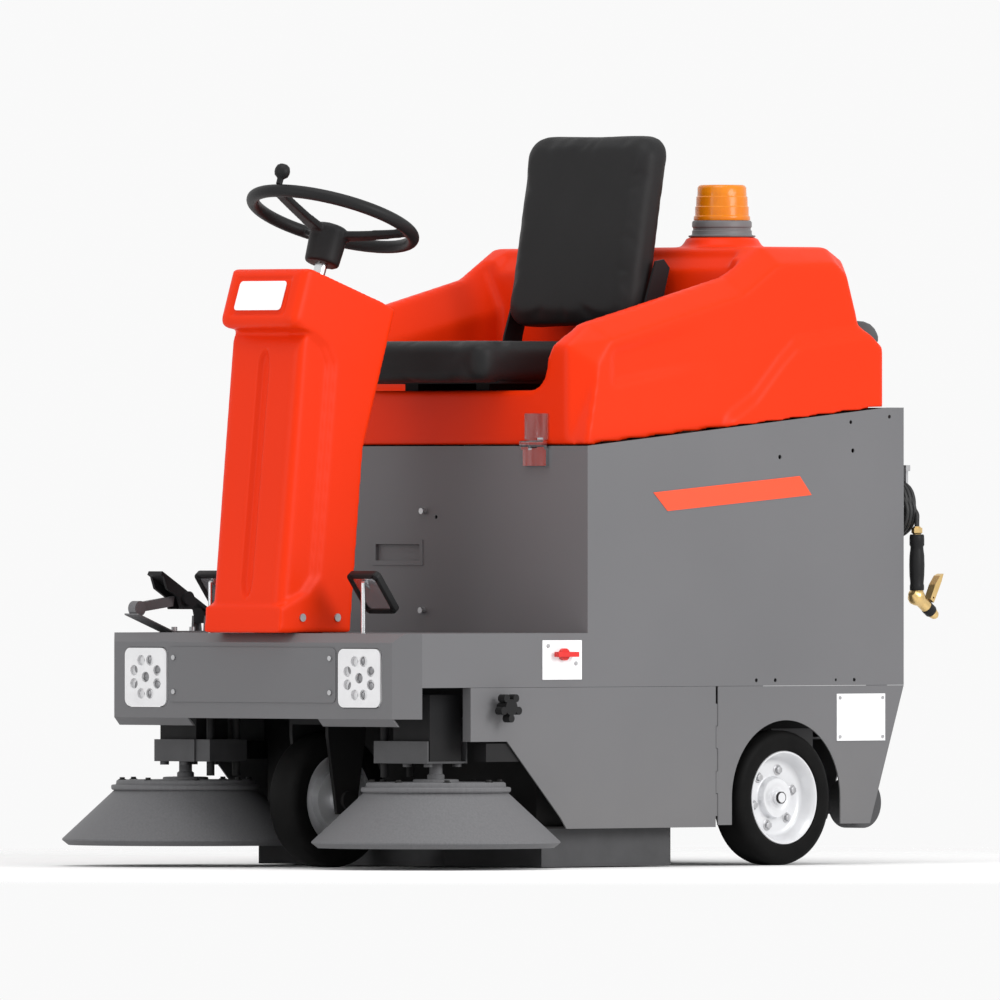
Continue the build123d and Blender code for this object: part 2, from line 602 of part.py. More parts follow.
# ---- side brushes on lifting channels ------------------------------------------------------------------------------
channel_wall = 4.0
channel_x = (guide_x + 27, side_brush_x + 32)
channel_half = 56.0
ring_top = 172.0
motor_x = (channel_x[0] + 6, channel_x[1] - 5)
for name, side in sides:
    with BuildPart() as arm:
        block(span(side, channel_x[0] - 1, channel_x[1]),
              (side_brush_station - channel_half, side_brush_station + channel_half), channel_z)
        block(span(side, channel_x[0] + 4, channel_x[1] + 1),
              (side_brush_station - channel_half + channel_wall, side_brush_station + channel_half - channel_wall),
              (channel_z[0] + channel_wall, channel_z[1] + 1), Mode.SUBTRACT)
        block(span(side, guide_x - 14, channel_x[0]), (side_brush_station - 52, side_brush_station + 52), channel_z)
        for offset_y in (-guide_pitch, guide_pitch):
            rod_z(guide_radius + running_fit, side * guide_x, side_brush_station + offset_y,
                  (channel_z[0] - 1, channel_z[1] + 1), Mode.SUBTRACT)
        rod_z(14, side * side_brush_x, side_brush_station, (channel_z[0] - 1, channel_z[0] + 5), Mode.SUBTRACT)
        for dx, dy in ((19, -40), (19, 40), (-40, -40), (-40, 40)):
            rod_z(9, side * (side_brush_x + dx), side_brush_station + dy, (channel_z[0] - 7, channel_z[0]))
    save(arm.part, f"side_arm_{name}")

    with BuildPart() as motor:
        block(span(side, *motor_x), (side_brush_station - 44, side_brush_station + 44),
              (channel_z[0] + channel_wall, 345))
        rod_z(12 + running_fit, side * side_brush_x, side_brush_station, (channel_z[0], channel_z[0] + 40),
              Mode.SUBTRACT)
    save(motor.part, f"side_brush_motor_{name}")

    with BuildPart() as side_brush:
        turned_z([(0, side_brush_lift), (side_brush_radius - 12, side_brush_lift),
                  (side_brush_radius, side_brush_lift + 10), (141, 151), (148, 153), (148, 166), (137, ring_top),
                  (0, ring_top)], side * side_brush_x, side_brush_station)
        turned_z([(0, 41), (190, 41), (150, 120), (0, 140)], side * side_brush_x, side_brush_station,
                 Mode.SUBTRACT)
        rod_z(46, side * side_brush_x, side_brush_station, (ring_top - 1, ring_top + 6))
        rod_z(12, side * side_brush_x, side_brush_station, (ring_top, channel_z[0] + 38))
    save(side_brush.part, f"side_brush_{name}")

# ---- pedals ----------------------------------------------------------------------------------------------------------
with BuildPart() as accelerator:
    profile([(213, 506), (213, 514), (83, 588), (79, 581)], accelerator_x)
    profile([(219, 511), (196, 521), (205, 484), (221, 484)], (accelerator_x[0] + 7, accelerator_x[1] - 7))
    for start in (accelerator_x[0], accelerator_x[1] - 6):
        profile([(186, 528), (84, 584), (96, 553), (126, 536), (136, 512), (164, 512)], (start, start + 6))
    rod_x(14, (accelerator_x[1] - 7, accelerator_x[1] + 8), 150, 534)
    rod_x(4, accelerator_x, *accelerator_pivot)
save(accelerator.part, "accelerator_pedal")

pad_plane_lean = 38.0
for name, side in (("flap_pedal", 1), ("brake_pedal", -1)):
    pad_plane = Plane(origin=(side * small_pedal_x, aft(126), 550), x_dir=(1, 0, 0),
                      z_dir=(0, cos(radians(pad_plane_lean)), sin(radians(pad_plane_lean))))
    with BuildPart() as pedal:
        rod_z(rod_radius, side * small_pedal_x, small_pedal_station, (small_pedal_pivot_z, 566))
        rod_x(4, span(side, small_pedal_x - 18, small_pedal_x + 18), small_pedal_station, small_pedal_pivot_z)
        with BuildSketch(pad_plane):
            RectangleRounded(74, 87, 8)
        extrude(amount=-9)
        with Locations(Location((side * small_pedal_x, aft(107), 560), (60, 0, 0))):
            Cylinder(rod_radius, 30)
    save(pedal.part, name)

# ---- batteries, tank, fan ---------------------------------------------------------------------------------------------
battery = (168.0, 320.0, 250.0)
battery_pitch = 171.0
with BuildPart() as batteries:
    for column in range(4):
        left = (column - 1.5) * battery_pitch
        block((left - battery[0] / 2, left + battery[0] / 2), (570, 570 + battery[1]),
              (tray_z + 4, tray_z + 4 + battery[2]))
        for terminal in (-50, 50):
            rod_z(8, left + terminal, 600, (tray_z + 3 + battery[2], tray_z + 16 + battery[2]))
save(batteries.part, "batteries")

with BuildPart() as water_tank:
    block((-rail_outer, rail_outer), (935, 1100), (tray_z, 850))
    rod_z(35, 200, 1017, (849, 880))
save(water_tank.part, "water_tank")

with BuildPart() as suction_fan:
    rod_z(120, 0, 1250, (shelf_z, shelf_z + 110))
    rod_z(70, 0, 1250, (shelf_z + 109, shelf_z + 220))
    block((-45, 45), (1330, 1395), (shelf_z + 60, shelf_z + 108))
save(suction_fan.part, "suction_fan")

# ---- dust hopper on its rollers ------------------------------------------------------------------------------------------
hopper_z = (92.0, 350.0)
hopper_y = (806.0, 1296.0)
roller_radius = 51.0
roller_place = (1328.0, 123.0)
roller_x = (half_width - 88.0, half_width - 38.0)
rear_slope = (body_length - 1308.0) / (seam_z - 82.0)
with BuildPart() as dust_hopper:
    block((-hopper_half, hopper_half), hopper_y, hopper_z)
    block((deck_sheet - hopper_half, hopper_half - deck_sheet), (hopper_y[0] + deck_sheet, hopper_y[1] - deck_sheet),
          (hopper_z[0] + deck_sheet, hopper_z[1] + 1), Mode.SUBTRACT)
    block((-276, 276), (hopper_y[0] - 1, hopper_y[0] + deck_sheet + 1), (204, hopper_z[1] + 1), Mode.SUBTRACT)
    for name, side in sides:
        flange_low = rail_z[0] - 20 + slide_gap
        block(span(side, hopper_half - 1, rail_inner + 2), hopper_y, (flange_low, flange_low + 4))
        # bracket and pin of the roller
        block(span(side, rail_inner - 2, rail_inner + 20), (roller_place[0] - 26, roller_place[0] - 8), (100, 146))
        block(span(side, roller_x[0] - 10, roller_x[0] - 4), (roller_place[0] - 26, roller_place[0] + 12),
              (104, 142))
        block(span(side, rail_inner + 10, roller_x[0] - 4), (roller_place[0] - 26, roller_place[0] - 8), (100, 146))
        rod_x(6, span(side, roller_x[0] - 8, roller_x[1] - 4), *roller_place)
    # sloping rear face with its pull handle
    face_x = rail_inner + 4
    profile([(1308 + (z - 82) * rear_slope - back, z) for z, back in
             ((90, 0), (seam_z - 6, 0), (seam_z - 6, 3.2), (90, 3.2))], (-face_x, face_x))
    for low in (100, 250):
        block((-hopper_half, hopper_half), (hopper_y[1] - 1, 1309 + (low - 82) * rear_slope), (low, low + 4))
    for name, side in sides:
        block(span(side, 90, 102), (1306 + (236 - 82) * rear_slope, 1402), (236, 248))
    rod_x(8, (-102, 102), 1402, 242)
save(dust_hopper.part, "dust_hopper")

with BuildPart() as hopper_rollers:
    for name, side in sides:
        rod_x(roller_radius, span(side, *roller_x), *roller_place)
        rod_x(6 + running_fit, span(side, roller_x[0] - 1, roller_x[1] - 3), *roller_place, Mode.SUBTRACT)
save(hopper_rollers.part, "hopper_rollers")

# ---- hood ------------------------------------------------------------------------------------------------------------------
hood_wall = 6.0
ridge_drop = 34.0
ridge_in = 58.0
well_half = 314.0
well_floor = 948.0
well_back = 1010.0
band_low, band_high, band_run = 1181.0, 1216.0, 40.0
pad_place = (174.0, 1150.0)
pad_radius = 76.0
hood_top = 1237.0
hood_outline = [(platform_length, hood_seam_front_z), (platform_length, 1040), (565, 1082), (953, 1175),
                (1054, hood_top), (1240, hood_top), (1286, 1211), (1317, 1079), (1392, 1035),
                (body_length - 11, hood_seam_rear_z), (hood_knee, hood_seam_rear_z)]
bevel_outline = [(platform_length, 1040), (565, 1082), (953, 1175), (1054, hood_top), (1240, hood_top),
                 (1286, 1211)]


def bevel(side, reach, sink=0.0):
    """Cut the bevel that runs along the hood's upper edge on one side."""
    for (d0, z0), (d1, z1) in zip(bevel_outline, bevel_outline[1:]):
        faces = []
        for x, drop in ((side * (reach + 1), ridge_drop), (side * (reach - ridge_in), 0)):
            with BuildSketch(Plane.YZ.offset(x)) as face:
                Polygon((aft(d0), z0 - drop - sink), (aft(d1), z1 - drop - sink), (aft(d1), z1 + 90),
                        (aft(d0), z0 + 90), align=None)
            faces.append(face.sketch.face())
        loft(faces, mode=Mode.SUBTRACT)


with BuildPart() as cavity:
    profile(hood_outline, (hood_wall - half_width, half_width - hood_wall), inset=hood_wall)
    for side in (1, -1):
        bevel(side, half_width - hood_wall, 9)
    block((-half_width, half_width), (platform_length + hood_wall, body_length - 11 - hood_wall),
          (hood_seam_front_z - 1, hood_seam_rear_z + hood_wall + 2))
    block((-well_half - hood_wall, well_half + hood_wall), (platform_length - 1, well_back + hood_wall),
          (well_floor - hood_wall, 1400), Mode.SUBTRACT)
    for side in (1, -1):
        block(span(side, half_width - hood_wall, half_width + 1), (platform_length - 1, body_length), (800, 1400),
              Mode.SUBTRACT)
    # leave a wall behind the sloped band at the top of the seat well's back
    profile([(well_back - 1, band_low - 9), (well_back + band_run + 6, band_high - 4),
             (well_back + band_run + 6, 1400), (well_back - 1, 1400)],
            (-well_half - hood_wall, well_half + hood_wall), Mode.SUBTRACT)

with BuildPart() as hood:
    profile(hood_outline, (-half_width, half_width))
    for side in (1, -1):
        bevel(side, half_width)
    rod_z(pad_radius, pad_place[0], pad_place[1], (hood_top - 1, hood_top + 20))
    # seat well, open to the front, with a sloped band along the top of its back
    block((-well_half, well_half), (platform_length - 1, well_back), (well_floor, 1400), Mode.SUBTRACT)
    profile([(well_back - 1, band_low - 1), (well_back + band_run, band_high), (well_back + band_run, 1400),
             (well_back - 1, 1400)], (-well_half, well_half), Mode.SUBTRACT)
    add(cavity.part, mode=Mode.SUBTRACT)
save(hood.part, "hood")

# ---- beacon ------------------------------------------------------------------------------------------------------------------
beacon_z = hood_top + 20
with BuildPart() as beacon_base:
    rod_z(68, *pad_place, (beacon_z, beacon_z + 3))
    turned_z([(0, beacon_z + 2), (60, beacon_z + 2), (58, beacon_z + 34), (0, beacon_z + 34)], *pad_place)
save(beacon_base.part, "beacon_base")

with BuildPart() as beacon_lens:
    turned_z([(0, beacon_z + 34), (58, beacon_z + 34), (57, beacon_z + 47), (52, beacon_z + 47),
              (54, beacon_z + 74), (53, beacon_z + 76), (49, beacon_z + 106), (0, beacon_z + 106)], *pad_place)
    rod_z(46, *pad_place, (beacon_z + 33, beacon_z + 100), Mode.SUBTRACT)
save(beacon_lens.part, "beacon_lens")

# ---- hood hinges --------------------------------------------------------------------------------------------------------------
leaf_x = (262.0, 327.0)
pivot_out = 12.0
pivot_z = hood_seam_front_z + 4
pin_radius = 3.0
barrel_radius = 7.0
with BuildPart() as hood_leaves:
    for name, side in sides:
        block(span(side, *leaf_x), (platform_length - 4, platform_length), (pivot_z + 8, 902))
        middle = span(side, leaf_x[0] + 21, leaf_x[1] - 21)
        block(middle, (platform_length - pivot_out, platform_length), (pivot_z + 2, pivot_z + 12))
        rod_x(barrel_radius, middle, platform_length - pivot_out, pivot_z)
        rod_x(pin_radius + running_fit, span(side, leaf_x[0], leaf_x[1]), platform_length - pivot_out, pivot_z,
              Mode.SUBTRACT)
save(hood_leaves.part, "hood_hinge_leaves")

with BuildPart() as body_leaves:
    for name, side in sides:
        block(span(side, *leaf_x), (platform_length - 9, platform_length), (798, pivot_z - 9))
        for low, high in ((leaf_x[0], leaf_x[0] + 20), (leaf_x[1] - 20, leaf_x[1])):
            ear = span(side, low, high)
            block(ear, (platform_length - pivot_out - 2, platform_length - pivot_out + 5), (pivot_z - 12, pivot_z))
            rod_x(barrel_radius, ear, platform_length - pivot_out, pivot_z)
        rod_x(pin_radius, span(side, *leaf_x), platform_length - pivot_out, pivot_z)
save(body_leaves.part, "body_hinge_leaves")

# ---- seat ---------------------------------------------------------------------------------------------------------------------
cushion_z = (968.0, 1046.0)
cushion_y = (413.0, 863.0)
cushion_half = 225.0
back_half = 185.0
back_outline = [(866, 1067), (950, 1067), (1022, 1471), (938, 1471)]
seat_rail_x = (82.0, 119.0)
with BuildPart() as seat_frame:
    for name, side in sides:
        block(span(side, *seat_rail_x), (545, 870), (well_floor, 963))
        profile([(870, 962), (926, 962), (944, 1060), (985, 1195), (968, 1212), (945, 1208), (893, 1060)],
                span(side, back_half + slide_gap, back_half + 5))
    block((-back_half - 5, back_half + 5), (500, 926), (962, cushion_z[0] - slide_gap))
save(seat_frame.part, "seat_frame")

with BuildPart() as seat_cushion:
    block((-cushion_half, cushion_half), cushion_y, cushion_z)
    fillet(seat_cushion.edges().filter_by(Axis.Z), 45)
    fillet(seat_cushion.edges().group_by(Axis.Z)[-1], 16)
save(seat_cushion.part, "seat_cushion")

with BuildPart() as backrest:
    profile(back_outline, (-back_half, back_half))
    fillet(backrest.edges().filter_by(lambda e: abs(e.center().X) > back_half - 1
                                      and e.length < 90), 40)
save(backrest.part, "seat_backrest")

# ---- hose, hook and spray gun ---------------------------------------------------------------------------------------------------
coil_x = 375.0
coil_z = 712.0
coil_outer = 60.0
coil_inner = 38.0
coil_y = (body_length + 5, body_length + 47)
strand_radius = 55.0
hose_radius = 5.0
gun_x = 433.0
gun_station = body_length + 40
gun_top = 676.0
with BuildPart() as hose_hook:
    block((coil_x - 20, coil_x + 20), (body_length, body_length + 4), (725, 790))
    block((coil_x - 11, coil_x + 11), (body_length + 3, body_length + 56), (737, 747.6))
    block((coil_x - 18, coil_x + 18), (body_length + 50, body_length + 56), (737, 800))
    block((coil_x - 20, coil_x + 20), (body_length + 48, body_length + 60), (788, 800))
save(hose_hook.part, "hose_hook")

with BuildPart() as hose_coil:
    rod_y(coil_outer, coil_x, coil_y, coil_z)
    rod_y(coil_inner, coil_x, (coil_y[0] - 1, coil_y[1] + 1), coil_z, Mode.SUBTRACT)
save(hose_coil.part, "hose_coil")

hose_route = [(coil_x + strand_radius, aft(gun_station), coil_z), (gun_x, aft(gun_station), gun_top + 0.8)]
with BuildPart() as hose_run:
    with BuildLine():
        run = Line(*hose_route)
    with BuildSketch(Plane(origin=run @ 0, z_dir=run % 0)):
        Circle(hose_radius)
    sweep(path=run)
save(hose_run.part, "hose_run")

lever_pivot = (gun_station + 39, 534)
with BuildPart() as spray_gun:
    rod_z(9, gun_x, gun_station, (660, gun_top))
    rod_z(15, gun_x, gun_station, (636, 662))
    turned_z([(0, 548), (12, 548), (17, 600), (18, 637), (0, 637)], gun_x, gun_station)
    with Locations((gun_x, aft(gun_station - 2), 536)):
        Sphere(19)
    with Locations(Location((gun_x, aft(gun_station + 24), 516), (-125, 0, 0))):
        Cylinder(12, 64)
    with Locations(Location((gun_x, aft(gun_station + 38), 506), (-125, 0, 0))):
        Cylinder(16, 14)
    for low in (-12.3, 9.3):
        profile([(gun_station + 30, 514), (gun_station + 44, 505), (gun_station + 46, 536),
                 (gun_station + 33, 540)], (gun_x + low, gun_x + low + 3))
    rod_x(2, (gun_x - 11, gun_x + 11), *lever_pivot)
save(spray_gun.part, "spray_gun")

with BuildPart() as gun_lever:
    profile([(gun_station + 30, 531), (gun_station + 40, 524), (gun_station + 62, 566), (gun_station + 68, 582),
             (gun_station + 58, 578), (gun_station + 44, 560)], (gun_x - 9, gun_x + 9))
    rod_x(2 + running_fit, (gun_x - 10, gun_x + 10), *lever_pivot, Mode.SUBTRACT)
save(gun_lever.part, "gun_lever")

# ---- fasteners that show on the outside -----------------------------------------------------------------------------------------
with BuildPart() as fasteners:
    for name, side in sides:
        for z in (349, 417):
            rod_y(5, side * 221, (-5, -2), z)
    for distance in (32, 129):
        rod_x(8, (cover_half_width, cover_half_width + 3), distance, 497)
    for distance in (rating_y[0] + 8, rating_y[1] - 8):
        for z in (rating_z[0] + 8, rating_z[1] - 8):
            rod_x(3.5, (half_width + plate, half_width + plate + 2), distance, z)
    for distance, z in ((392, 441), (470, 406)):
        rod_x(4, (half_width + plate, half_width + plate + 2), distance, z)
    for x, z in ((-22.7, 708), (-25.6, 510)):
        rod_y(6, x, (platform_length - 12, platform_length), z)
    for distance in (135, 185):
        rod_z(6, -360, distance, (deck_top + 3, deck_top + 11))
save(fasteners.part, "fasteners")
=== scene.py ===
import bmesh
import bpy
from math import cos, pi, radians, sin
from mathutils import Matrix, Vector


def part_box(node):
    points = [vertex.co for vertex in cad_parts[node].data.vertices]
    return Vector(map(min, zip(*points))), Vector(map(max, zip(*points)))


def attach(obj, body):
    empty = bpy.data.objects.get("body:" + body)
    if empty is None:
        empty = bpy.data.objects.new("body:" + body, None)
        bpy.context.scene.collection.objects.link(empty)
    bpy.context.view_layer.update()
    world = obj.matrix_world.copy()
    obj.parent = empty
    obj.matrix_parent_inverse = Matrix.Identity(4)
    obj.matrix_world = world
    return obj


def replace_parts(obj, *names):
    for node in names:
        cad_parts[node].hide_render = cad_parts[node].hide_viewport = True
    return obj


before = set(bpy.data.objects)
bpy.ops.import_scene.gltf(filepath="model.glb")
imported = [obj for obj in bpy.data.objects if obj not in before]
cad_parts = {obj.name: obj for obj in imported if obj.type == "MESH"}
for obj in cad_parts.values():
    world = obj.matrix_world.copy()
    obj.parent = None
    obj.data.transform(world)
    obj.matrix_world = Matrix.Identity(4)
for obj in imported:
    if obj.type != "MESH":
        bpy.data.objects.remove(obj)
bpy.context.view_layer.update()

# ---- Sheet-metal body ----------------------------------------------------------------------------
# Folded 3 mm steel sheets, bolted to a welded frame and powder-coated in a satin grey. The coat has
# a fine orange peel, its tone drifts a little from sheet to sheet, and dust settles low down.


class Wire:
    """One shader socket; arithmetic on it adds Math nodes to its paint."""

    def __init__(self, paint, socket):
        self.paint, self.socket = paint, socket

    def join(self, operation, first, second):
        return self.paint.node("Math", {"operation": operation}, {0: first, 1: second})

    def __add__(self, other):
        return self.join("ADD", self, other)

    def __sub__(self, other):
        return self.join("SUBTRACT", self, other)

    def __mul__(self, other):
        return self.join("MULTIPLY", self, other)

    __radd__ = __add__
    __rmul__ = __mul__


class Paint:
    """A material being mixed: node() adds any shader node and gives back one of its outputs."""

    def __init__(self, name, **shader):
        self.material = bpy.data.materials.new(name)
        self.material.use_nodes = True
        self.tree = self.material.node_tree
        self.shader = self.tree.nodes["Principled BSDF"]
        for words, value in shader.items():
            self.put(words.replace("_", " "), value)
        self.place = self.node("TexCoord", output="Object")

    def put(self, socket, value):
        if isinstance(value, Wire):
            self.tree.links.new(value.socket, self.shader.inputs[socket])
        elif isinstance(value, tuple):
            self.shader.inputs[socket].default_value = (*value, 1)
        else:
            self.shader.inputs[socket].default_value = value

    def node(self, kind, settings=None, inputs=None, output=0):
        made = self.tree.nodes.new("ShaderNode" + kind)
        for name, value in (settings or {}).items():
            setattr(made, name, value)
        for socket, value in (inputs or {}).items():
            if isinstance(value, Wire):
                self.tree.links.new(value.socket, made.inputs[socket])
            else:
                made.inputs[socket].default_value = value
        return Wire(self, made.outputs[output])

    def noise(self, scale, detail=2.0, stretch=None):
        where = self.place
        if stretch:
            where = self.node("Mapping", None, {"Vector": self.place, "Scale": stretch})
        return self.node("TexNoise", None, {"Vector": where, "Scale": scale, "Detail": detail})

    def height(self):
        return self.node("SeparateXYZ", None, {0: self.place}, "Z")

    def ramp(self, value, low, high):
        """0 where value is at low, 1 where it is at high, smooth between."""
        return self.node("MapRange", {"interpolation_type": "SMOOTHSTEP"},
                         {"Value": value, "From Min": low, "From Max": high})

    def mix(self, mask, first, second):
        first, second = [(*c, 1) if isinstance(c, tuple) else c for c in (first, second)]
        return self.node("Mix", {"data_type": "RGBA"}, {0: mask, 6: first, 7: second}, 2)

    def bump(self, relief, strength, distance):
        self.put("Normal", self.node("Bump", None, {"Height": relief, "Strength": strength,
                                                    "Distance": distance}))


def cover(paint, *names):
    """Give CAD nodes a finish."""
    for name in names:
        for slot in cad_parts[name].material_slots:
            slot.material = paint.material


grey_coat = Paint("grey_powder_coat", Specular_IOR_Level=0.2)
drift = grey_coat.noise(2.2, 3)
peel = grey_coat.noise(520, 2)
low_dust = grey_coat.ramp(grey_coat.height(), 0.42, 0.06) * grey_coat.noise(7, 5)
coat_tone = grey_coat.mix(drift, (0.118, 0.118, 0.123), (0.142, 0.141, 0.147))
grey_coat.put("Base Color", grey_coat.mix(low_dust * 0.25, coat_tone, (0.2, 0.19, 0.175)))
grey_coat.put("Roughness", 0.4 + drift * 0.1 + peel * 0.06)
grey_coat.bump(peel, 0.12, 0.0006)
cover(grey_coat, "front_platform", "bumper_cover", "front_panel", "side_panel_left", "side_panel_right",
      "rear_panel", "door_left", "door_right", "quarter_panel_left", "quarter_panel_right", "dust_hopper")

# ---- Frame and running gear ----------------------------------------------------------------------
# Welded tube and plate in black paint: chassis, fork, brush chamber and seat frame. The paint is
# duller than the body's coat, with brush marks and a little road dust on the lower parts.

black_coat = Paint("black_frame_paint", Specular_IOR_Level=0.15)
grime = black_coat.ramp(black_coat.height(), 0.35, 0.05) * black_coat.noise(11, 5)
black_coat.put("Base Color", black_coat.mix(grime * 0.5, (0.012, 0.012, 0.013), (0.045, 0.042, 0.038)))
black_coat.put("Roughness", 0.45 + black_coat.noise(35, 3) * 0.2)
black_coat.bump(black_coat.noise(260, 2), 0.12, 0.0006)
cover(black_coat, "chassis_frame", "steering_fork", "brush_chamber", "seat_frame", "accelerator_pedal",
      "side_brush_motor_left", "side_brush_motor_right")

# ---- Turned and plated steel ---------------------------------------------------------------------
# Zinc-plated and chromed small parts: shafts, hinge leaves, brackets. Plating varies in gloss and
# carries fine rubbing marks from handling.

plated = Paint("plated_steel", Metallic=1.0)
rub = plated.noise(90, 4, (1, 1, 0.15))
plated.put("Base Color", plated.mix(plated.noise(14, 3), (0.58, 0.585, 0.6), (0.74, 0.745, 0.76)))
plated.put("Roughness", 0.16 + rub * 0.16)
plated.bump(rub, 0.05, 0.0003)
cover(plated, "steering_shaft", "column_shaft", "body_hinge_leaves", "hood_hinge_leaves")

bracket_steel = Paint("dark_bracket_steel", Metallic=0.35, Specular_IOR_Level=0.4)
bracket_steel.put("Base Color", bracket_steel.mix(bracket_steel.noise(18, 4), (0.05, 0.05, 0.053),
                                                  (0.085, 0.085, 0.088)))
bracket_steel.put("Roughness", 0.42 + bracket_steel.noise(60, 3) * 0.15)
bracket_steel.bump(bracket_steel.noise(400, 2), 0.1, 0.0004)
cover(bracket_steel, "side_arm_left", "side_arm_right", "main_brush_motor")

# ---- Inside the body -----------------------------------------------------------------------------
# Moulded battery cases, a rotomoulded clear-water tank and the fan's housing. They show only with
# the hood up, and each plastic has its own grain.

case_plastic = Paint("battery_case_plastic", Specular_IOR_Level=0.3)
case_plastic.put("Base Color", case_plastic.mix(case_plastic.noise(9, 3), (0.014, 0.014, 0.015),
                                                (0.03, 0.03, 0.031)))
case_plastic.put("Roughness", 0.5 + case_plastic.noise(300, 2) * 0.15)
case_plastic.bump(case_plastic.noise(900, 2), 0.2, 0.0004)
cover(case_plastic, "batteries", "suction_fan")

tank_plastic = Paint("rotomoulded_tank_plastic", Specular_IOR_Level=0.4)
tank_plastic.put("Base Color", tank_plastic.mix(tank_plastic.noise(5, 4), (0.5, 0.5, 0.46), (0.62, 0.62, 0.58)))
tank_plastic.put("Roughness", 0.45 + tank_plastic.noise(40, 3) * 0.15)
tank_plastic.bump(tank_plastic.noise(220, 3), 0.2, 0.0006)
cover(tank_plastic, "water_tank")

# ---- White plates --------------------------------------------------------------------------------
# Blank printed plates in white enamel on aluminium: a badge on the column head, the isolator's
# plate and the rating plate. All are left without lettering.

white_enamel = Paint("white_enamel", Coat_Weight=0.3)
white_enamel.put("Base Color", white_enamel.mix(white_enamel.noise(12, 3), (0.78, 0.78, 0.79), (0.84, 0.84, 0.85)))
white_enamel.put("Roughness", 0.28 + white_enamel.noise(50, 3) * 0.12)
white_enamel.bump(white_enamel.noise(500, 2), 0.05, 0.0003)
cover(white_enamel, "white_plates")

# ---- Steering column cover -----------------------------------------------------------------------
# A rotomoulded hood over the steering mast, in glossy orange plastic. Its front face is recessed
# between the head, the base and a strip along each side, with a long groove down the middle.


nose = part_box("front_platform")[0].y


def at(x, distance, z):
    """A point in metres from millimetres: left, behind the bumper's front face, and up."""
    return Vector((x / 1000, nose + distance / 1000, z / 1000))


def prism(points, push):
    """Closed plate: a face through the points, pushed along a vector."""
    mesh = bmesh.new()
    face = mesh.faces.new([mesh.verts.new(point) for point in points])
    pushed = bmesh.ops.extrude_face_region(mesh, geom=[face], use_keep_orig=True)
    bmesh.ops.translate(mesh, vec=push, verts=[v for v in pushed["geom"] if isinstance(v, bmesh.types.BMVert)])
    bmesh.ops.recalc_face_normals(mesh, faces=mesh.faces)
    return mesh


def slab(outline, low, high):
    """Plate with a side outline of (distance, height) points between two x places."""
    return prism([at(low, d, z) for d, z in outline], Vector(((high - low) / 1000, 0, 0)))


def add(mesh, *others):
    """Put other meshes into this one."""
    for other in others:
        spare = bpy.data.meshes.new("spare")
        other.to_mesh(spare)
        other.free()
        mesh.from_mesh(spare)
        bpy.data.meshes.remove(spare)
    return mesh


def piece(mesh, name, body, paint, crease=35):
    """Make a mesh into an object that rides on a body."""
    data = bpy.data.meshes.new(name)
    mesh.to_mesh(data)
    mesh.free()
    made = bpy.data.objects.new(name, data)
    bpy.context.collection.objects.link(made)
    data.materials.append(paint.material)
    data.shade_smooth()
    data.set_sharp_from_angle(angle=radians(crease))
    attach(made, body)
    return made


def settle(made):
    """Apply a piece's modifiers."""
    bpy.context.view_layer.update()
    done = bpy.data.meshes.new_from_object(made.evaluated_get(bpy.context.evaluated_depsgraph_get()))
    made.modifiers.clear()
    made.data = done
    return made


def mould(made, voxel, rounds):
    """Fuse a piece's parts into one skin and round its edges, as a mould does."""
    skin = made.modifiers.new("skin", "REMESH")
    skin.mode, skin.voxel_size, skin.use_smooth_shade = "VOXEL", voxel / 1000, True
    ease = made.modifiers.new("ease", "SMOOTH")
    ease.factor, ease.iterations = 0.5, rounds
    return settle(made)


def rise(value, low, high):
    """0 below low, 1 above high, smooth between."""
    share = min(max((value - low) / (high - low), 0), 1)
    return share * share * (3 - 2 * share)


orange = Paint("orange_moulded_plastic", Specular_IOR_Level=0.12)
tint = orange.noise(3, 3)
orange.put("Base Color", orange.mix(tint, (0.66, 0.025, 0.0012), (0.71, 0.029, 0.0015)))
orange.put("Roughness", 0.36 + orange.noise(24, 4) * 0.12)
orange.bump(orange.noise(330, 2), 0.06, 0.0005)

column_head = [(36, 1040), (2, 1076), (44, 1194), (260, 1123), (294, 1108), (204, 832), (168, 467)]
recess_edge = [(0, 527), (44, 545), (73, 578), (80, 640), (118, 1000), (100, 1036), (62, 1062)]
core = slab([(-26, 480), (36, 1042), (70, 1100), (200, 1100), (170, 832), (140, 480)], -100, 100)
front_corners = [e for e in core.edges if all(v.co.y < at(0, 50, 0).y and abs(v.co.x) > 0.099 for v in e.verts)]
bmesh.ops.bevel(core, geom=front_corners, offset=0.022, segments=4, profile=0.5, affect="EDGES", material=-1)
column = bmesh.new()
add(column, core)
for half, shift in ((108, 9), (104, -8)):
    edge = [(d + shift, z) for d, z in recess_edge]
    ring = [(-31, 467), (-27, 516 + shift / 3)] + edge + [(36, 1068), (3, 1074)] + column_head[2:]
    layer = slab(ring, -half, half)
    corners = [e for e in layer.edges
               if all(v.co.y < at(0, 60, 0).y and v.co.z > 1.06 and abs(v.co.x) > 0.1 for v in e.verts)]
    bmesh.ops.bevel(layer, geom=corners, offset=0.02, segments=4, profile=0.5, affect="EDGES", material=-1)
    add(column, layer)
cover_piece = piece(column, "column_moulding", "chassis", orange, 60)
mould(cover_piece, 4.2, 5)
lean = Vector((0, 42, 118)).normalized()
badge_middle = at(0, 23, 1135)
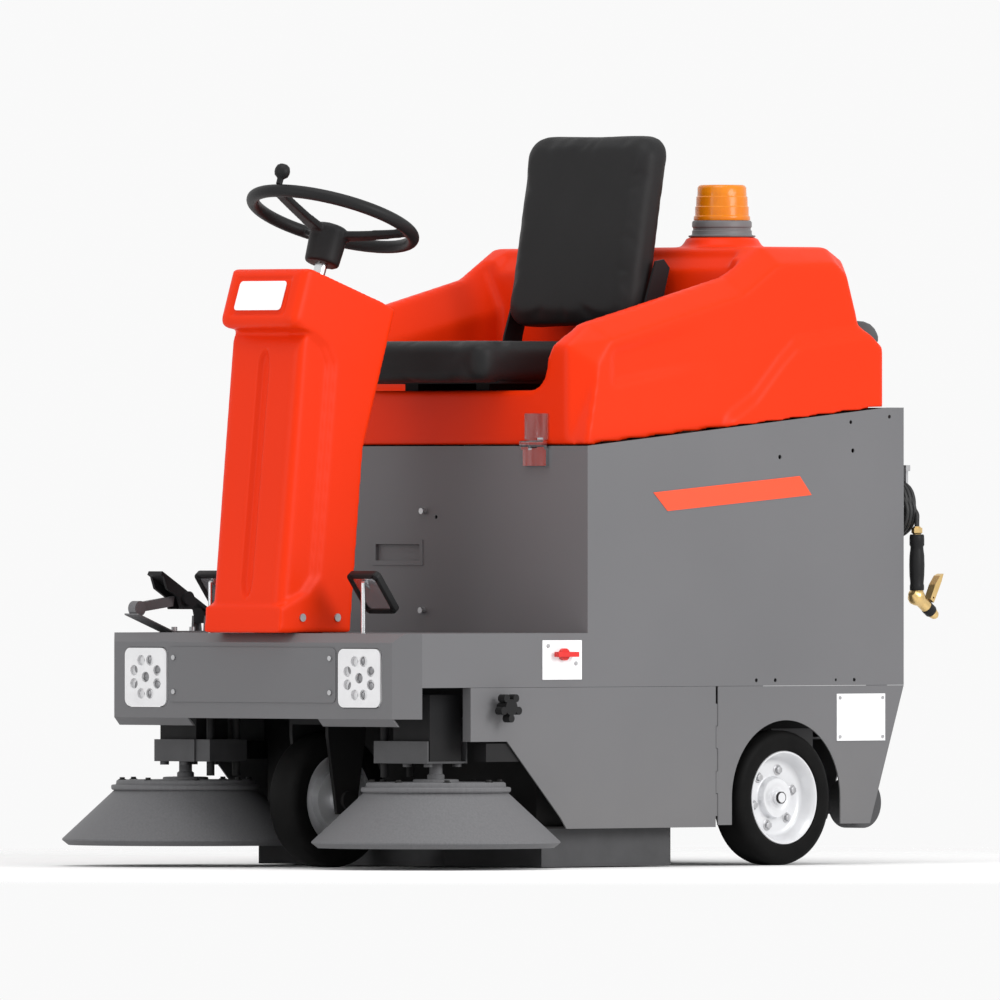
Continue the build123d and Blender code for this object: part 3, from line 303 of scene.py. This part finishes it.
for vertex in cover_piece.data.vertices:
    x, spot = abs(vertex.co.x) * 1000, vertex.co
    if spot.y < at(0, 45, 0).y:
        line = max(0, (spot.z * 1000 - 990) / 30, (574 - spot.z * 1000) / 30)
        groove = 1 - rise((x * x + (line * 11) ** 2) ** 0.5, 10, 16)
        if 530 < spot.z * 1000 < 1030:
            vertex.co.y += 0.009 * groove
        up = abs((spot - badge_middle).dot(lean)) * 1000
        ring = rise(max(x - 65.5, up - 30.5), 0, 3) * (1 - rise(max(x - 74, up - 38), 0, 4))
        if spot.z > 1.08:
            vertex.co.y += 0.003 * ring
trim = cover_piece.modifiers.new("trim", "DECIMATE")
trim.ratio = 0.6
settle(cover_piece)
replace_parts(cover_piece, "column_cover")

# ---- Hood ----------------------------------------------------------------------------------------
# One large rotomoulded cover with two armrests, an open seat well and a raised back. Its side has a
# shallow hand recess and the rear quarter stands proud; a boss on top carries the beacon.


def cut(made, mesh):
    """Take another closed mesh out of a piece."""
    data = bpy.data.meshes.new("cutter")
    mesh.to_mesh(data)
    mesh.free()
    cutter = bpy.data.objects.new("cutter", data)
    bpy.context.collection.objects.link(cutter)
    bite = made.modifiers.new("bite", "BOOLEAN")
    bite.operation, bite.object, bite.solver = "DIFFERENCE", cutter, "EXACT"
    settle(made)
    bpy.data.objects.remove(cutter)
    return made


def turned(points, centre, axis, steps=72):
    """Solid of revolution from (radius, along) points in millimetres, from one pole to the other."""
    mesh = bmesh.new()
    axis = Vector(axis).normalized()
    side = axis.orthogonal().normalized()
    rim = [mesh.verts.new(centre + side * (r / 1000) + axis * (a / 1000)) for r, a in points]
    chain = [mesh.edges.new(pair) for pair in zip(rim, rim[1:])]
    bmesh.ops.spin(mesh, geom=rim + chain, cent=centre, axis=axis, angle=2 * pi, steps=steps, use_merge=True)
    bmesh.ops.remove_doubles(mesh, verts=mesh.verts, dist=1e-6)
    bmesh.ops.recalc_face_normals(mesh, faces=mesh.faces)
    return mesh


# each row is a point of the ridge and the point of the side below it
ridge_rows = [((505, 838), (518, 838)), ((505, 1037), (550, 998)), ((565, 1082), (588, 1048)),
              ((953, 1175), (966, 1139)), ((1054, 1237), (1064, 1200)), ((1240, 1237), (1226, 1203)),
              ((1286, 1211), (1256, 1180)), ((1317, 1084), (1290, 1079)), ((1396, 1040), (1352, 1030)),
              ((1400, 918), (1357, 917))]
hood_mesh = slab([ridge for ridge, side in ridge_rows], -421, 421)
for x in (-376, 376):
    bmesh.ops.bisect_plane(hood_mesh, geom=hood_mesh.verts[:] + hood_mesh.edges[:] + hood_mesh.faces[:],
                           plane_co=(x / 1000, 0, 0), plane_no=(1, 0, 0))
for vertex in hood_mesh.verts:
    if abs(vertex.co.x) > 0.4:
        row = min(ridge_rows, key=lambda r: (at(0, *r[0]) - vertex.co).yz.length)
        vertex.co.yz = at(0, *row[1]).yz
hood = piece(hood_mesh, "hood_moulding", "hood", orange, 60)
well = bmesh.new()
ends = []
for distance, crease, wide, top in ((480, 1000, 349, 1060), (1012, 1113, 360, 1196)):
    loop = [(316, 948), (316, crease), (wide, top), (wide, 1300), (-wide, 1300), (-wide, top), (-316, crease),
            (-316, 948)]
    ends.append(well.faces.new([well.verts.new(at(x, distance, z)) for x, z in loop]))
loops = [list(end.edges) for end in ends]
bmesh.ops.bridge_loops(well, edges=loops[0] + loops[1])
bmesh.ops.recalc_face_normals(well, faces=well.faces)
floor_edges = [e for e in well.edges if all(abs(v.co.z - 0.948) < 1e-4 for v in e.verts)
               and abs(e.verts[0].co.x - e.verts[1].co.x) < 1e-4]
bmesh.ops.bevel(well, geom=floor_edges, offset=0.05, segments=6, profile=0.5, affect="EDGES", material=-1)
cut(hood, well)
cut(hood, slab([(1000, 1176), (1034, 1213), (1040, 1216), (1046, 1300), (1000, 1300)], -330, 330))
boss = bmesh.new()
boss.from_mesh(hood.data)
add(boss, turned([(0, -30), (76, -30), (76, 12), (72, 19), (66, 21), (0, 21)], at(174, 1150, 1237), (0, 0, 1)))
boss.to_mesh(hood.data)
boss.free()
mould(hood, 7, 4)
bulge_edge = [(893, 840), (905, 905), (985, 950), (1062, 1025), (1105, 1060), (1340, 1090)]
for vertex in hood.data.vertices:
    if abs(vertex.co.x) < 0.405:
        continue
    d, z = (vertex.co.y - at(0, 0, 0).y) * 1000, vertex.co.z * 1000
    edge_z = 2000 if d < bulge_edge[0][0] else bulge_edge[-1][1]
    for (d0, z0), (d1, z1) in zip(bulge_edge, bulge_edge[1:]):
        if d0 <= d < d1:
            edge_z = z0 + (z1 - z0) * (d - d0) / (d1 - d0)
    # the rear quarter stands out below its edge
    out = rise(edge_z - z, 0, 34) * rise(d, 893, 925) * (1 - rise(d, 1340, 1362))
    # the hand recess is deep at its front end and runs out towards the back
    lower, upper = 946 + (d - 570) * 0.157, 1038 + (d - 600) * 0.21
    dent = rise(z - lower, 0, 22) * rise(upper - z, 0, 22) * rise(d, 578, 604) * (1 - rise(d, 640, 890))
    vertex.co.x += (0.0135 * out - 0.007 * dent) * (1 if vertex.co.x > 0 else -1)
shell = bmesh.new()
shell.from_mesh(hood.data)
under = [f for f in shell.faces if f.normal.z < -0.8 and f.calc_center_median().z < 0.925
         and f.calc_center_median().z < 0.845 + (f.calc_center_median().y - at(0, 505, 0).y) * 0.094]
bmesh.ops.delete(shell, geom=under, context="FACES")
shell.to_mesh(hood.data)
shell.free()
trim = hood.modifiers.new("trim", "DECIMATE")
trim.ratio = 0.55
wall = hood.modifiers.new("wall", "SOLIDIFY")
wall.thickness, wall.offset = 0.006, -1
settle(hood)
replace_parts(hood, "hood")

# ---- Seat ----------------------------------------------------------------------------------------
# A flat cushion and a backrest of foam in black grained vinyl, crowned in the middle and rolled
# over at the edges. Both are bolted to the black seat frame.

vinyl = Paint("black_grained_vinyl", Specular_IOR_Level=0.13)
grain = vinyl.node("TexVoronoi", {"feature": "DISTANCE_TO_EDGE"}, {"Vector": vinyl.place, "Scale": 420.0})
worn = vinyl.noise(6, 4)
vinyl.put("Base Color", vinyl.mix(worn, (0.010, 0.010, 0.0105), (0.019, 0.019, 0.0195)))
vinyl.put("Roughness", 0.5 + worn * 0.12 - grain * 0.4)
vinyl.bump(grain + vinyl.noise(900, 2) * 0.15, 0.35, 0.0006)


def pad(outline, half, name, node, thin, round_by, corner, voxel, cap):
    """Foam pad: its block is remeshed, blown up a little as cloth, held within a cap and eased."""
    block = slab(outline, -half, half)
    upright = [e for e in block.edges if abs(e.verts[0].co.x - e.verts[1].co.x) < 1e-5
               and abs((e.verts[0].co - e.verts[1].co).dot(thin)) > 0.7 * (e.verts[0].co - e.verts[1].co).length]
    bmesh.ops.bevel(block, geom=upright, offset=round_by / 1000, segments=8, profile=0.5, affect="EDGES",
                    material=-1)
    bmesh.ops.bevel(block, geom=[e for e in block.edges if e.calc_face_angle(0) > 1],
                    offset=corner / 1000, segments=5, profile=0.5, affect="EDGES",
                    material=-1)
    made = piece(block, name, "hood", vinyl, 70)
    mould(made, voxel, 6)
    rest = [vertex.co.copy() for vertex in made.data.vertices]
    cloth = made.modifiers.new("cloth", "CLOTH")
    cloth.settings.quality = 4
    cloth.settings.mass = 0.4
    cloth.settings.tension_stiffness = cloth.settings.compression_stiffness = 18
    cloth.settings.use_pressure = True
    cloth.settings.uniform_pressure_force = 4
    cloth.settings.effector_weights.gravity = 0
    for step in range(1, 21):
        bpy.context.scene.frame_set(step)
    settle(made)
    bpy.context.scene.frame_set(1)
    for vertex, start in zip(made.data.vertices, rest):
        move = vertex.co - start
        if move.length > cap / 1000:
            vertex.co = start + move.normalized() * (cap / 1000)
    ease = made.modifiers.new("ease", "SMOOTH")
    ease.factor, ease.iterations = 0.5, 4
    settle(made)
    made.data.shade_smooth()
    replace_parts(made, node)
    return made


pad([(419, 971), (419, 1040), (857, 1040), (857, 971)], 219, "seat_pad", "seat_cushion",
    thin=Vector((0, 0, 1)), round_by=34, corner=16, voxel=6, cap=7)
pad([(873, 1073), (947, 1073), (1015, 1465), (944, 1465)], 180, "back_pad", "seat_backrest",
    thin=Vector((0, 1, 0)), round_by=46, corner=24, voxel=6, cap=7)

# ---- Steering wheel ------------------------------------------------------------------------------
# Three-spoke wheel in soft black plastic over a steel ring, dished down to a deep hub, with a
# spinner knob on the rim for turning it with one hand.

soft_black = Paint("soft_black_plastic", Specular_IOR_Level=0.12)
handled = soft_black.noise(16, 4)
soft_black.put("Base Color", soft_black.mix(handled, (0.010, 0.010, 0.0105), (0.018, 0.018, 0.0185)))
soft_black.put("Roughness", 0.38 + handled * 0.16)
soft_black.bump(soft_black.noise(700, 2), 0.12, 0.0004)

wheel_centre = at(0, 224, 1289)
tilt = radians(19.6)
wheel_axis = Vector((0, sin(tilt), cos(tilt)))
wheel_aft = Vector((0, cos(tilt), -sin(tilt)))


def on_wheel(right, along, up):
    """A place on the wheel in millimetres: to the machine's left, aft, and up its axis."""
    return wheel_centre + Vector((right, 0, 0)) / 1000 + wheel_aft * (along / 1000) + wheel_axis * (up / 1000)


wheel = turned([(164 + 13 * cos(2 * pi * n / 20), 13 * sin(2 * pi * n / 20)) for n in range(21)], wheel_centre,
               wheel_axis, 96)
hub = turned([(0, -15), (30, -16), (37, -21), (38.5, -30), (35, -93), (32, -96), (0, -96)], wheel_centre, wheel_axis)
add(wheel, hub)
for angle in (-90, 30, 150):
    spoke = bmesh.new()
    bmesh.ops.create_cube(spoke, size=1)
    bmesh.ops.subdivide_edges(spoke, edges=[e for e in spoke.edges if abs((e.verts[0].co - e.verts[1].co).x) > 0.5],
                              cuts=5)
    for vertex in spoke.verts:
        share = vertex.co.x + 0.5
        reach = 18 + 142 * share
        width = 17 - 4 * share
        drop = -33 + 32 * share ** 1.25
        turn = radians(angle)
        aside = vertex.co.y * 2 * width
        vertex.co = on_wheel(reach * cos(turn) - aside * sin(turn), reach * sin(turn) + aside * cos(turn),
                             drop + vertex.co.z * (15 - 3 * share))
    bmesh.ops.recalc_face_normals(spoke, faces=spoke.faces)
    add(wheel, spoke)
steering = piece(wheel, "steering_wheel_rim", "steering_wheel", soft_black, 70)
mould(steering, 2.6, 6)
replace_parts(steering, "steering_wheel")

spinner_foot = on_wheel(0, -164, 0)
spinner = turned([(0, 13.4), (6.5, 13.4), (6.5, 24), (7.5, 26), (13.5, 31), (15.4, 37), (15.4, 43), (13, 50.5),
                  (8, 54.5), (0, 55.5)], spinner_foot, wheel_axis, 48)
knob_top = piece(spinner, "spinner_grip", "spinner_knob", soft_black, 50)
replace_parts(knob_top, "spinner_knob")

# ---- Wheels --------------------------------------------------------------------------------------
# Solid rubber tyres with a smooth tread, pressed on deep-dished rims in silver paint. A flanged hub
# is bolted to each rear rim with six bolts, and the front hub turns in the fork.

rubber = Paint("tyre_rubber", Specular_IOR_Level=0.04)
scuff = rubber.noise(30, 5)
rubber.put("Base Color", rubber.mix(scuff, (0.004, 0.004, 0.0042), (0.009, 0.0088, 0.0086)))
rubber.put("Roughness", 0.42 + scuff * 0.2)
rubber.bump(rubber.noise(340, 3), 0.12, 0.0004)

silver = Paint("silver_rim_paint", Metallic=0.35, Coat_Weight=0.3, Coat_Roughness=0.15)
silver.put("Base Color", silver.mix(silver.noise(20, 3), (0.60, 0.605, 0.62), (0.72, 0.725, 0.74)))
silver.put("Roughness", 0.26 + silver.noise(45, 3) * 0.14)
silver.bump(silver.noise(500, 2), 0.06, 0.0004)

zinc = Paint("zinc_plated_steel", Metallic=0.9)
zinc.put("Base Color", zinc.mix(zinc.noise(60, 3), (0.36, 0.36, 0.37), (0.55, 0.55, 0.56)))
zinc.put("Roughness", 0.28 + zinc.noise(120, 3) * 0.2)
zinc.bump(zinc.noise(600, 2), 0.08, 0.0003)


def bolt(place, axis, radius=6.5, height=5.5, sides=6):
    """Hexagon head on a round washer, standing along an axis."""
    axis = Vector(axis).normalized()
    mesh = bmesh.new()
    upright = axis.to_track_quat("Z", "Y").to_matrix().to_4x4()
    stand = Matrix.Translation(place + axis * (height / 2000 + 0.0012)) @ upright
    bmesh.ops.create_cone(mesh, cap_ends=True, segments=sides, radius1=radius / 1000, radius2=radius / 1000,
                          depth=height / 1000, matrix=stand)
    rim = [e for e in mesh.edges if all((v.co - place).dot(axis) > height / 1000 for v in e.verts)]
    bmesh.ops.bevel(mesh, geom=rim, offset=radius * 0.00014, segments=2, profile=0.5, affect="EDGES", material=-1)
    return add(mesh, turned([(0, -0.4), (radius * 1.45, -0.4), (radius * 1.45, 1), (radius * 1.3, 1.5), (0, 1.5)],
                            place, axis, 24))


def tyre(centre, half, radius, bore):
    wall = [(bore, -half + 3), (bore + 2, -half + 1), (bore + 7, -half), (radius - 16, -half), (radius - 8, -half + 2),
            (radius - 3, -half + 7), (radius, -half + 15)]
    back = [(r, -a) for r, a in reversed(wall)]
    return turned(wall + [(radius + 0.4, 0)] + back + wall[:1], centre, (1, 0, 0), 96)


for side, name in ((1, "left"), (-1, "right")):
    centre = at(side * 393, 1068, 135)
    outward = (side, 0, 0)
    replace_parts(piece(tyre(centre, 39.5, 134.6, 94.4), "rear_tyre_" + name + "_rubber", "rear_wheel_" + name,
                      rubber, 50), "rear_tyre_" + name)
    dish = turned([(0, -32), (58, -32), (70, -36), (94, -36), (94, 35), (92.5, 37), (90, 37), (88, 35), (86, 31),
                   (83, 27), (79, 10), (75, 4.5), (68, 2.5), (46, 2.5), (43, 3.5), (41, 7), (40, 15.5), (38, 17.5),
                   (27, 18), (25, 16.5), (19, 16.5), (18, 18), (0, 18)], centre, outward, 96)
    nut = turned([(0, 17), (14, 17), (14, 23), (12, 25), (11, 29), (9.5, 30.5), (0, 30.5)], centre, outward, 48)
    rim = piece(add(dish, nut), "rear_rim_" + name + "_dish", "rear_wheel_" + name, silver, 40)
    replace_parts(rim, "rear_rim_" + name)
    heads = bmesh.new()
    for n in range(6):
        turn = radians(60 * n + 15)
        place = centre + Vector((side * 2.5, 57 * cos(turn), 57 * sin(turn))) / 1000
        add(heads, bolt(place, outward, 7.5, 6.5))
    piece(heads, "rear_rim_" + name + "_bolts", "rear_wheel_" + name, zinc, 30)

front_centre = at(0, 209, 134)
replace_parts(piece(tyre(front_centre, 38.5, 133.6, 92.4), "front_tyre_rubber", "front_wheel", rubber, 50),
            "front_tyre")
cover(silver, "front_hub")
cover(zinc, "fasteners")

# ---- Side brushes --------------------------------------------------------------------------------
# Disc brushes with a flared skirt of stiff bristles, pressed dense and level into a clamping ring.
# Each hangs from a geared motor in a channel arm that lifts it off the floor.

bristle = Paint("grey_bristle", Specular_IOR_Level=0.2)
strands = bristle.noise(260, 2, (1, 1, 0.06))
bristle.put("Base Color", bristle.mix(strands, (0.100, 0.100, 0.104), (0.150, 0.150, 0.156)))
bristle.put("Roughness", 0.5 + strands * 0.2)
bristle.bump(strands, 0.2, 0.0008)
for side, name in ((1, "left"), (-1, "right")):
    axle = at(side * 354, 160.6, 0)
    skirt = turned([(0, 178), (40, 178), (45, 177), (46, 173), (135, 172), (138, 170), (139, 163), (147, 162),
                    (148.5, 160), (148.5, 155), (147, 152.5), (143, 151), (158, 137), (246, 55), (246.6, 52),
                    (234, 42), (231, 44), (150, 120), (20, 128), (0, 128)], axle, (0, 0, 1), 144)
    shaft = turned([(0, 170), (17, 170), (17, 186), (13, 189), (13, 240), (0, 240)], axle, (0, 0, 1), 32)
    brush = piece(add(skirt, shaft), "side_brush_" + name + "_skirt", "side_brush_" + name, bristle, 30)
    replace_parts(brush, "side_brush_" + name)
    heads = bmesh.new()
    for n in range(8):
        turn = radians(45 * n + 10)
        add(heads, bolt(axle + Vector((128 * cos(turn), 128 * sin(turn), 172)) / 1000, (0, 0, 1), 5.5, 4))
    piece(heads, "side_brush_" + name + "_bolts", "side_brush_" + name, black_coat, 30)
cover(bristle, "main_brush")

grey_rubber = Paint("grey_moulded_rubber", Specular_IOR_Level=0.25)
grey_rubber.put("Base Color", grey_rubber.mix(grey_rubber.noise(18, 4), (0.05, 0.05, 0.052), (0.08, 0.08, 0.083)))
grey_rubber.put("Roughness", 0.6 + grey_rubber.noise(60, 3) * 0.2)
grey_rubber.bump(grey_rubber.noise(400, 2), 0.2, 0.0005)
cover(grey_rubber, "hopper_rollers", "chamber_skirts")

# ---- Small black fittings ------------------------------------------------------------------------
# Star knobs, the isolator's red key, the pedals and the headlamps. The plastic is a fine matt grain
# and the pedals are pressed steel plates under a rubber pad.

cover(soft_black, "door_knob_left", "door_knob_right")

red_key = Paint("red_plastic", Specular_IOR_Level=0.5)
red_key.put("Base Color", red_key.mix(red_key.noise(40, 3), (0.55, 0.008, 0.006), (0.66, 0.014, 0.01)))
red_key.put("Roughness", 0.32 + red_key.noise(70, 3) * 0.12)
red_key.bump(red_key.noise(600, 2), 0.06, 0.0003)
cover(red_key, "isolator_key")
cover(plated, "brake_pedal", "flap_pedal")

for side, name in ((-1, "brake"), (1, "flap")):
    lean_back = Matrix.Translation(at(side * 216, 126, 550)) @ Matrix.Rotation(radians(38 - 90), 4, "X")
    pad_rim = bmesh.new()
    bmesh.ops.create_grid(pad_rim, x_segments=1, y_segments=1, size=0.5, matrix=Matrix.Diagonal((0.086, 0.099, 1, 1)))
    bmesh.ops.bevel(pad_rim, geom=pad_rim.verts[:], offset=0.011, segments=4, profile=0.5, affect="VERTICES",
                    material=-1)
    plate = max(pad_rim.faces, key=lambda f: f.calc_area())
    bmesh.ops.inset_region(pad_rim, faces=[plate], thickness=0.0115, use_even_offset=True, use_boundary=True)
    bmesh.ops.delete(pad_rim, geom=[plate], context="FACES")
    lifted = bmesh.ops.extrude_face_region(pad_rim, geom=pad_rim.faces[:], use_keep_orig=True)
    raised = [v for v in lifted["geom"] if isinstance(v, bmesh.types.BMVert)]
    bmesh.ops.translate(pad_rim, vec=(0, 0, 0.014), verts=raised)
    bmesh.ops.recalc_face_normals(pad_rim, faces=pad_rim.faces)
    outer = [e for e in pad_rim.edges if len(e.link_faces) == 2 and e.calc_face_angle(0) > 1]
    bmesh.ops.bevel(pad_rim, geom=outer, offset=0.002, segments=2, profile=0.5, affect="EDGES", material=-1)
    bmesh.ops.translate(pad_rim, vec=(0, 0, -0.0115), verts=pad_rim.verts)
    bmesh.ops.transform(pad_rim, matrix=lean_back, verts=pad_rim.verts)
    body = name + "_pedal"
    piece(pad_rim, name + "_pedal_rubber", body, soft_black, 40)
    piece(bolt(at(side * 216, 126, 550), (0, cos(radians(38)), sin(radians(38))), 7, 6), name + "_pedal_nut", body,
          zinc, 30)

lamp_body = Paint("pale_lamp_plastic", Coat_Weight=0.4)
lamp_body.put("Base Color", lamp_body.mix(lamp_body.noise(30, 3), (0.60, 0.60, 0.61), (0.7, 0.7, 0.71)))
lamp_body.put("Roughness", 0.25 + lamp_body.noise(90, 3) * 0.12)
lamp_body.bump(lamp_body.noise(700, 2), 0.05, 0.0003)
cover(lamp_body, "headlights")
low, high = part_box("headlights")
reflector = Paint("grey_reflector", Metallic=0.5)
reflector.put("Base Color", reflector.mix(reflector.noise(300, 2), (0.16, 0.16, 0.165), (0.30, 0.30, 0.31)))
reflector.put("Roughness", 0.25 + reflector.noise(200, 3) * 0.15)
reflector.bump(reflector.noise(700, 2), 0.1, 0.0003)
for side, name in ((1, "left"), (-1, "right")):
    eyes = bmesh.new()
    for x, z in [(0, 0)] + [(31 * cos(pi * n / 3 + pi / 6), 34 * sin(pi * n / 3 + pi / 6)) for n in range(6)]:
        add(eyes, turned([(0, -0.5), (9.6, -0.5), (10, 0.4), (8.5, 1.4), (5, 2.2), (0, 2.4)],
                         at(side * 302 + x, 4.6, 378 + z), (0, -1, 0), 28))
    piece(eyes, "headlight_" + name + "_reflectors", "chassis", reflector, 40)

# ---- Beacon --------------------------------------------------------------------------------------
# Amber flashing lamp on a dark grey base with a gasket. The lens is moulded in steps, with fine
# upright ribs inside, and it twists off for the bulb.

beacon_place = at(174, 1150, 0)
dark_grey = Paint("dark_grey_plastic", Specular_IOR_Level=0.4)
dark_grey.put("Base Color", dark_grey.mix(dark_grey.noise(20, 3), (0.10, 0.10, 0.103), (0.14, 0.14, 0.144)))
dark_grey.put("Roughness", 0.42 + dark_grey.noise(80, 3) * 0.15)
dark_grey.bump(dark_grey.noise(600, 2), 0.1, 0.0004)
base = turned([(0, 1257.5), (66, 1257.5), (67.5, 1259), (67.5, 1260.5), (61, 1262), (60, 1264), (60, 1270), (58, 1272),
               (58, 1276), (60, 1278), (60, 1287), (58, 1290.5), (0, 1291)], beacon_place, (0, 0, 1), 96)
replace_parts(piece(base, "beacon_foot", "hood", dark_grey, 40), "beacon_base")
amber = Paint("amber_lens", Specular_IOR_Level=0.3, Transmission_Weight=0.2, IOR=1.45, Coat_Weight=0.15)
amber.put("Base Color", amber.mix(amber.noise(40, 3), (0.66, 0.18, 0.002), (0.78, 0.25, 0.004)))
amber.put("Roughness", 0.16 + amber.noise(60, 3) * 0.14)
amber.bump(amber.noise(130, 2, (1, 1, 0.05)), 0.35, 0.001)
lens = turned([(0, 1291), (56, 1291), (57, 1293), (56.5, 1299), (54, 1301), (54, 1318), (52, 1320), (51.5, 1338),
               (49.5, 1340), (49, 1357), (46, 1361), (42, 1362.5), (0, 1363)], beacon_place, (0, 0, 1), 96)
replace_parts(piece(lens, "beacon_dome", "hood", amber, 40), "beacon_lens")

# ---- Spray hose and gun --------------------------------------------------------------------------
# About 1.7 m of rubber water hose hangs in a coil on a hook behind the body. A brass gun with a black
# grip is screwed to its end, for rinsing the machine.

hose_rubber = Paint("black_hose_rubber", Specular_IOR_Level=0.35)
hose_rubber.put("Base Color", hose_rubber.mix(hose_rubber.noise(40, 3), (0.010, 0.010, 0.0105), (0.02, 0.02, 0.0205)))
hose_rubber.put("Roughness", 0.4 + hose_rubber.noise(120, 3) * 0.15)
hose_rubber.bump(hose_rubber.noise(420, 2), 0.15, 0.0004)

hose_points = [(326, 1410, 712), (326, 1420, 713)]
for n in range(2, 78):
    turn = 2 * pi * n / 14 - pi / 2
    reach = 48.5 + (6 if sin(turn / 2 - 0.6) > 0 else -6) * min(1, abs(sin(turn / 2 - 0.6)) * 4)
    hose_points.append((375 + reach * sin(turn), 1421 + 5.2 * n / 14, 712 + reach * cos(turn)))
hose_points += [(433, 1446, 702), (433, 1445, 688), (433, 1445, 677)]
curve = bpy.data.curves.new("spray_hose", "CURVE")
curve.dimensions = "3D"
curve.bevel_depth = 0.005
curve.bevel_resolution = 4
curve.resolution_u = 5
line = curve.splines.new("NURBS")
line.points.add(len(hose_points) - 1)
for point, spot in zip(line.points, hose_points):
    point.co = (*at(*spot), 1)
line.order_u = 3
line.use_endpoint_u = True
hose = bpy.data.objects.new("spray_hose", curve)
bpy.context.collection.objects.link(hose)
curve.materials.append(hose_rubber.material)
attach(hose, "chassis")
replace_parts(hose, "hose_coil", "hose_run")
cover(zinc, "hose_hook")

brass = Paint("brass", Metallic=1.0)
brass.put("Base Color", brass.mix(brass.noise(40, 4), (0.62, 0.42, 0.16), (0.80, 0.58, 0.27)))
brass.put("Roughness", 0.22 + brass.noise(90, 3) * 0.2)
brass.bump(brass.noise(300, 2), 0.08, 0.0004)
gun_at = at(433, 1445, 0)
grip = turned([(0, 661), (13, 661), (14.5, 659), (15, 652), (15, 640), (13, 636), (13.5, 630), (15, 618), (15.5, 600),
               (15, 580), (13.5, 562), (14.5, 558), (14.5, 550), (12, 547), (0, 547)], gun_at, (0, 0, 1), 48)
barrel = Vector((0, cos(radians(-35)), sin(radians(-35))))
mouth = at(433, 1443, 536)
collar = turned([(0, 36), (12.5, 36), (13, 37.5), (13, 52), (12, 54), (0, 54)], mouth, barrel, 36)
gun_grip = piece(grip, "spray_gun_grip", "chassis", soft_black, 40)
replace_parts(gun_grip, "spray_gun")
piece(collar, "spray_gun_collar", "chassis", soft_black, 40)
union = turned([(0, 677), (7, 677), (7.5, 675), (11, 674), (11, 664), (8, 662), (8, 658), (0, 658)],
               gun_at, (0, 0, 1), 6)
gun_union = piece(union, "spray_gun_union", "chassis", brass, 35)
elbow = turned([(0, -17), (9, -15), (16, -7), (18, 0), (16, 8), (13, 14), (12, 20), (12, 38), (0, 38)],
               mouth, barrel, 36)
add(elbow, turned([(0, 53), (10.5, 53), (11, 56), (9, 66), (6, 70), (3, 70.5), (0, 70.5)], mouth, barrel, 36),
    turned([(0, 530), (10, 532), (13, 538), (13, 549), (0, 549)], gun_at, (0, 0, 1), 36))
piece(elbow, "spray_gun_elbow", "chassis", brass, 35)
cover(brass, "gun_lever")
tuple(at(326, 1410, 712))

# ---- Trims ---------------------------------------------------------------------------------------
# A plain orange stripe of film on the left side, and a grey moulded cap over the vent at the back
# of the left armrest.

stripe_mesh = slab([(730, 708), (1140, 740), (1106, 778), (690, 745)], 435.1, 435.9)
stripe = Paint("orange_film", Coat_Weight=0.2)
stripe.put("Base Color", stripe.mix(stripe.noise(8, 3), (0.72, 0.05, 0.006), (0.78, 0.06, 0.008)))
stripe.put("Roughness", 0.38 + stripe.noise(50, 3) * 0.1)
stripe.bump(stripe.noise(400, 2), 0.05, 0.0002)
piece(stripe_mesh, "side_stripe", "chassis", stripe, 30)
cap = turned([(0, 1046), (43, 1046), (45, 1050), (45, 1058), (43, 1064), (38, 1074), (29, 1083),
              (16, 1088.5), (0, 1090)], at(352, 1352, 0), (0, 0, 1), 64)
piece(cap, "vent_cap", "hood", grey_rubber, 40)

# ---- Stage ---------------------------------------------------------------------------------------
# A plain pale floor that fades out into a pale surround, with two large soft lamps. The camera
# stands far off at the front left with a long lens.

disc = bmesh.new()
bmesh.ops.create_circle(disc, cap_ends=True, segments=96, radius=3.2)
disc_mesh = bpy.data.meshes.new("floor")
disc.to_mesh(disc_mesh)
disc.free()
floor = bpy.data.objects.new("floor", disc_mesh)
bpy.context.collection.objects.link(floor)
ground = Paint("pale_floor", Roughness=0.85)
far = ground.node("VectorMath", {"operation": "LENGTH"}, {0: ground.place}, "Value")
ground.put("Base Color", ground.mix(ground.noise(3, 2), (0.80, 0.80, 0.80), (0.83, 0.83, 0.83)))
ground.put("Alpha", ground.ramp(far, 3.1, 1.5))
floor.data.materials.append(ground.material)

world = bpy.data.worlds.new("surround")
world.use_nodes = True
world.node_tree.nodes["Background"].inputs["Color"].default_value = (1, 1, 1, 1)
world.node_tree.nodes["Background"].inputs["Strength"].default_value = 0.95
bpy.context.scene.world = world
bpy.context.scene.view_settings.view_transform = "Standard"


def lamp(name, place, target, size, power):
    light = bpy.data.lights.new(name, "AREA")
    light.shape, light.size, light.energy = "DISK", size, power
    made = bpy.data.objects.new(name, light)
    bpy.context.collection.objects.link(made)
    made.location = place
    made.rotation_euler = (Vector(target) - Vector(place)).to_track_quat("-Z", "Y").to_euler()


lamp("side_lamp", (4.2, 0.6, 2.2), (0, 0, 0.7), 2.4, 110)
lamp("top_lamp", (0.8, -0.9, 4.2), (0, 0, 0.6), 2.6, 50)
lamp("front_lamp", (-0.6, -4.6, 1.7), (0, 0, 0.7), 2.2, 32)

lens_view = bpy.data.cameras.new("camera")
lens_view.lens, lens_view.sensor_width, lens_view.clip_end = 1000, 36, 200
camera = bpy.data.objects.new("camera", lens_view)
bpy.context.collection.objects.link(camera)
camera.location = Vector((0, nose + 0.694, 0.73)) + 55.56 * Vector((1, -1, 0)).normalized()
camera.rotation_euler = (radians(90), 0, radians(45))
bpy.context.scene.camera = camera
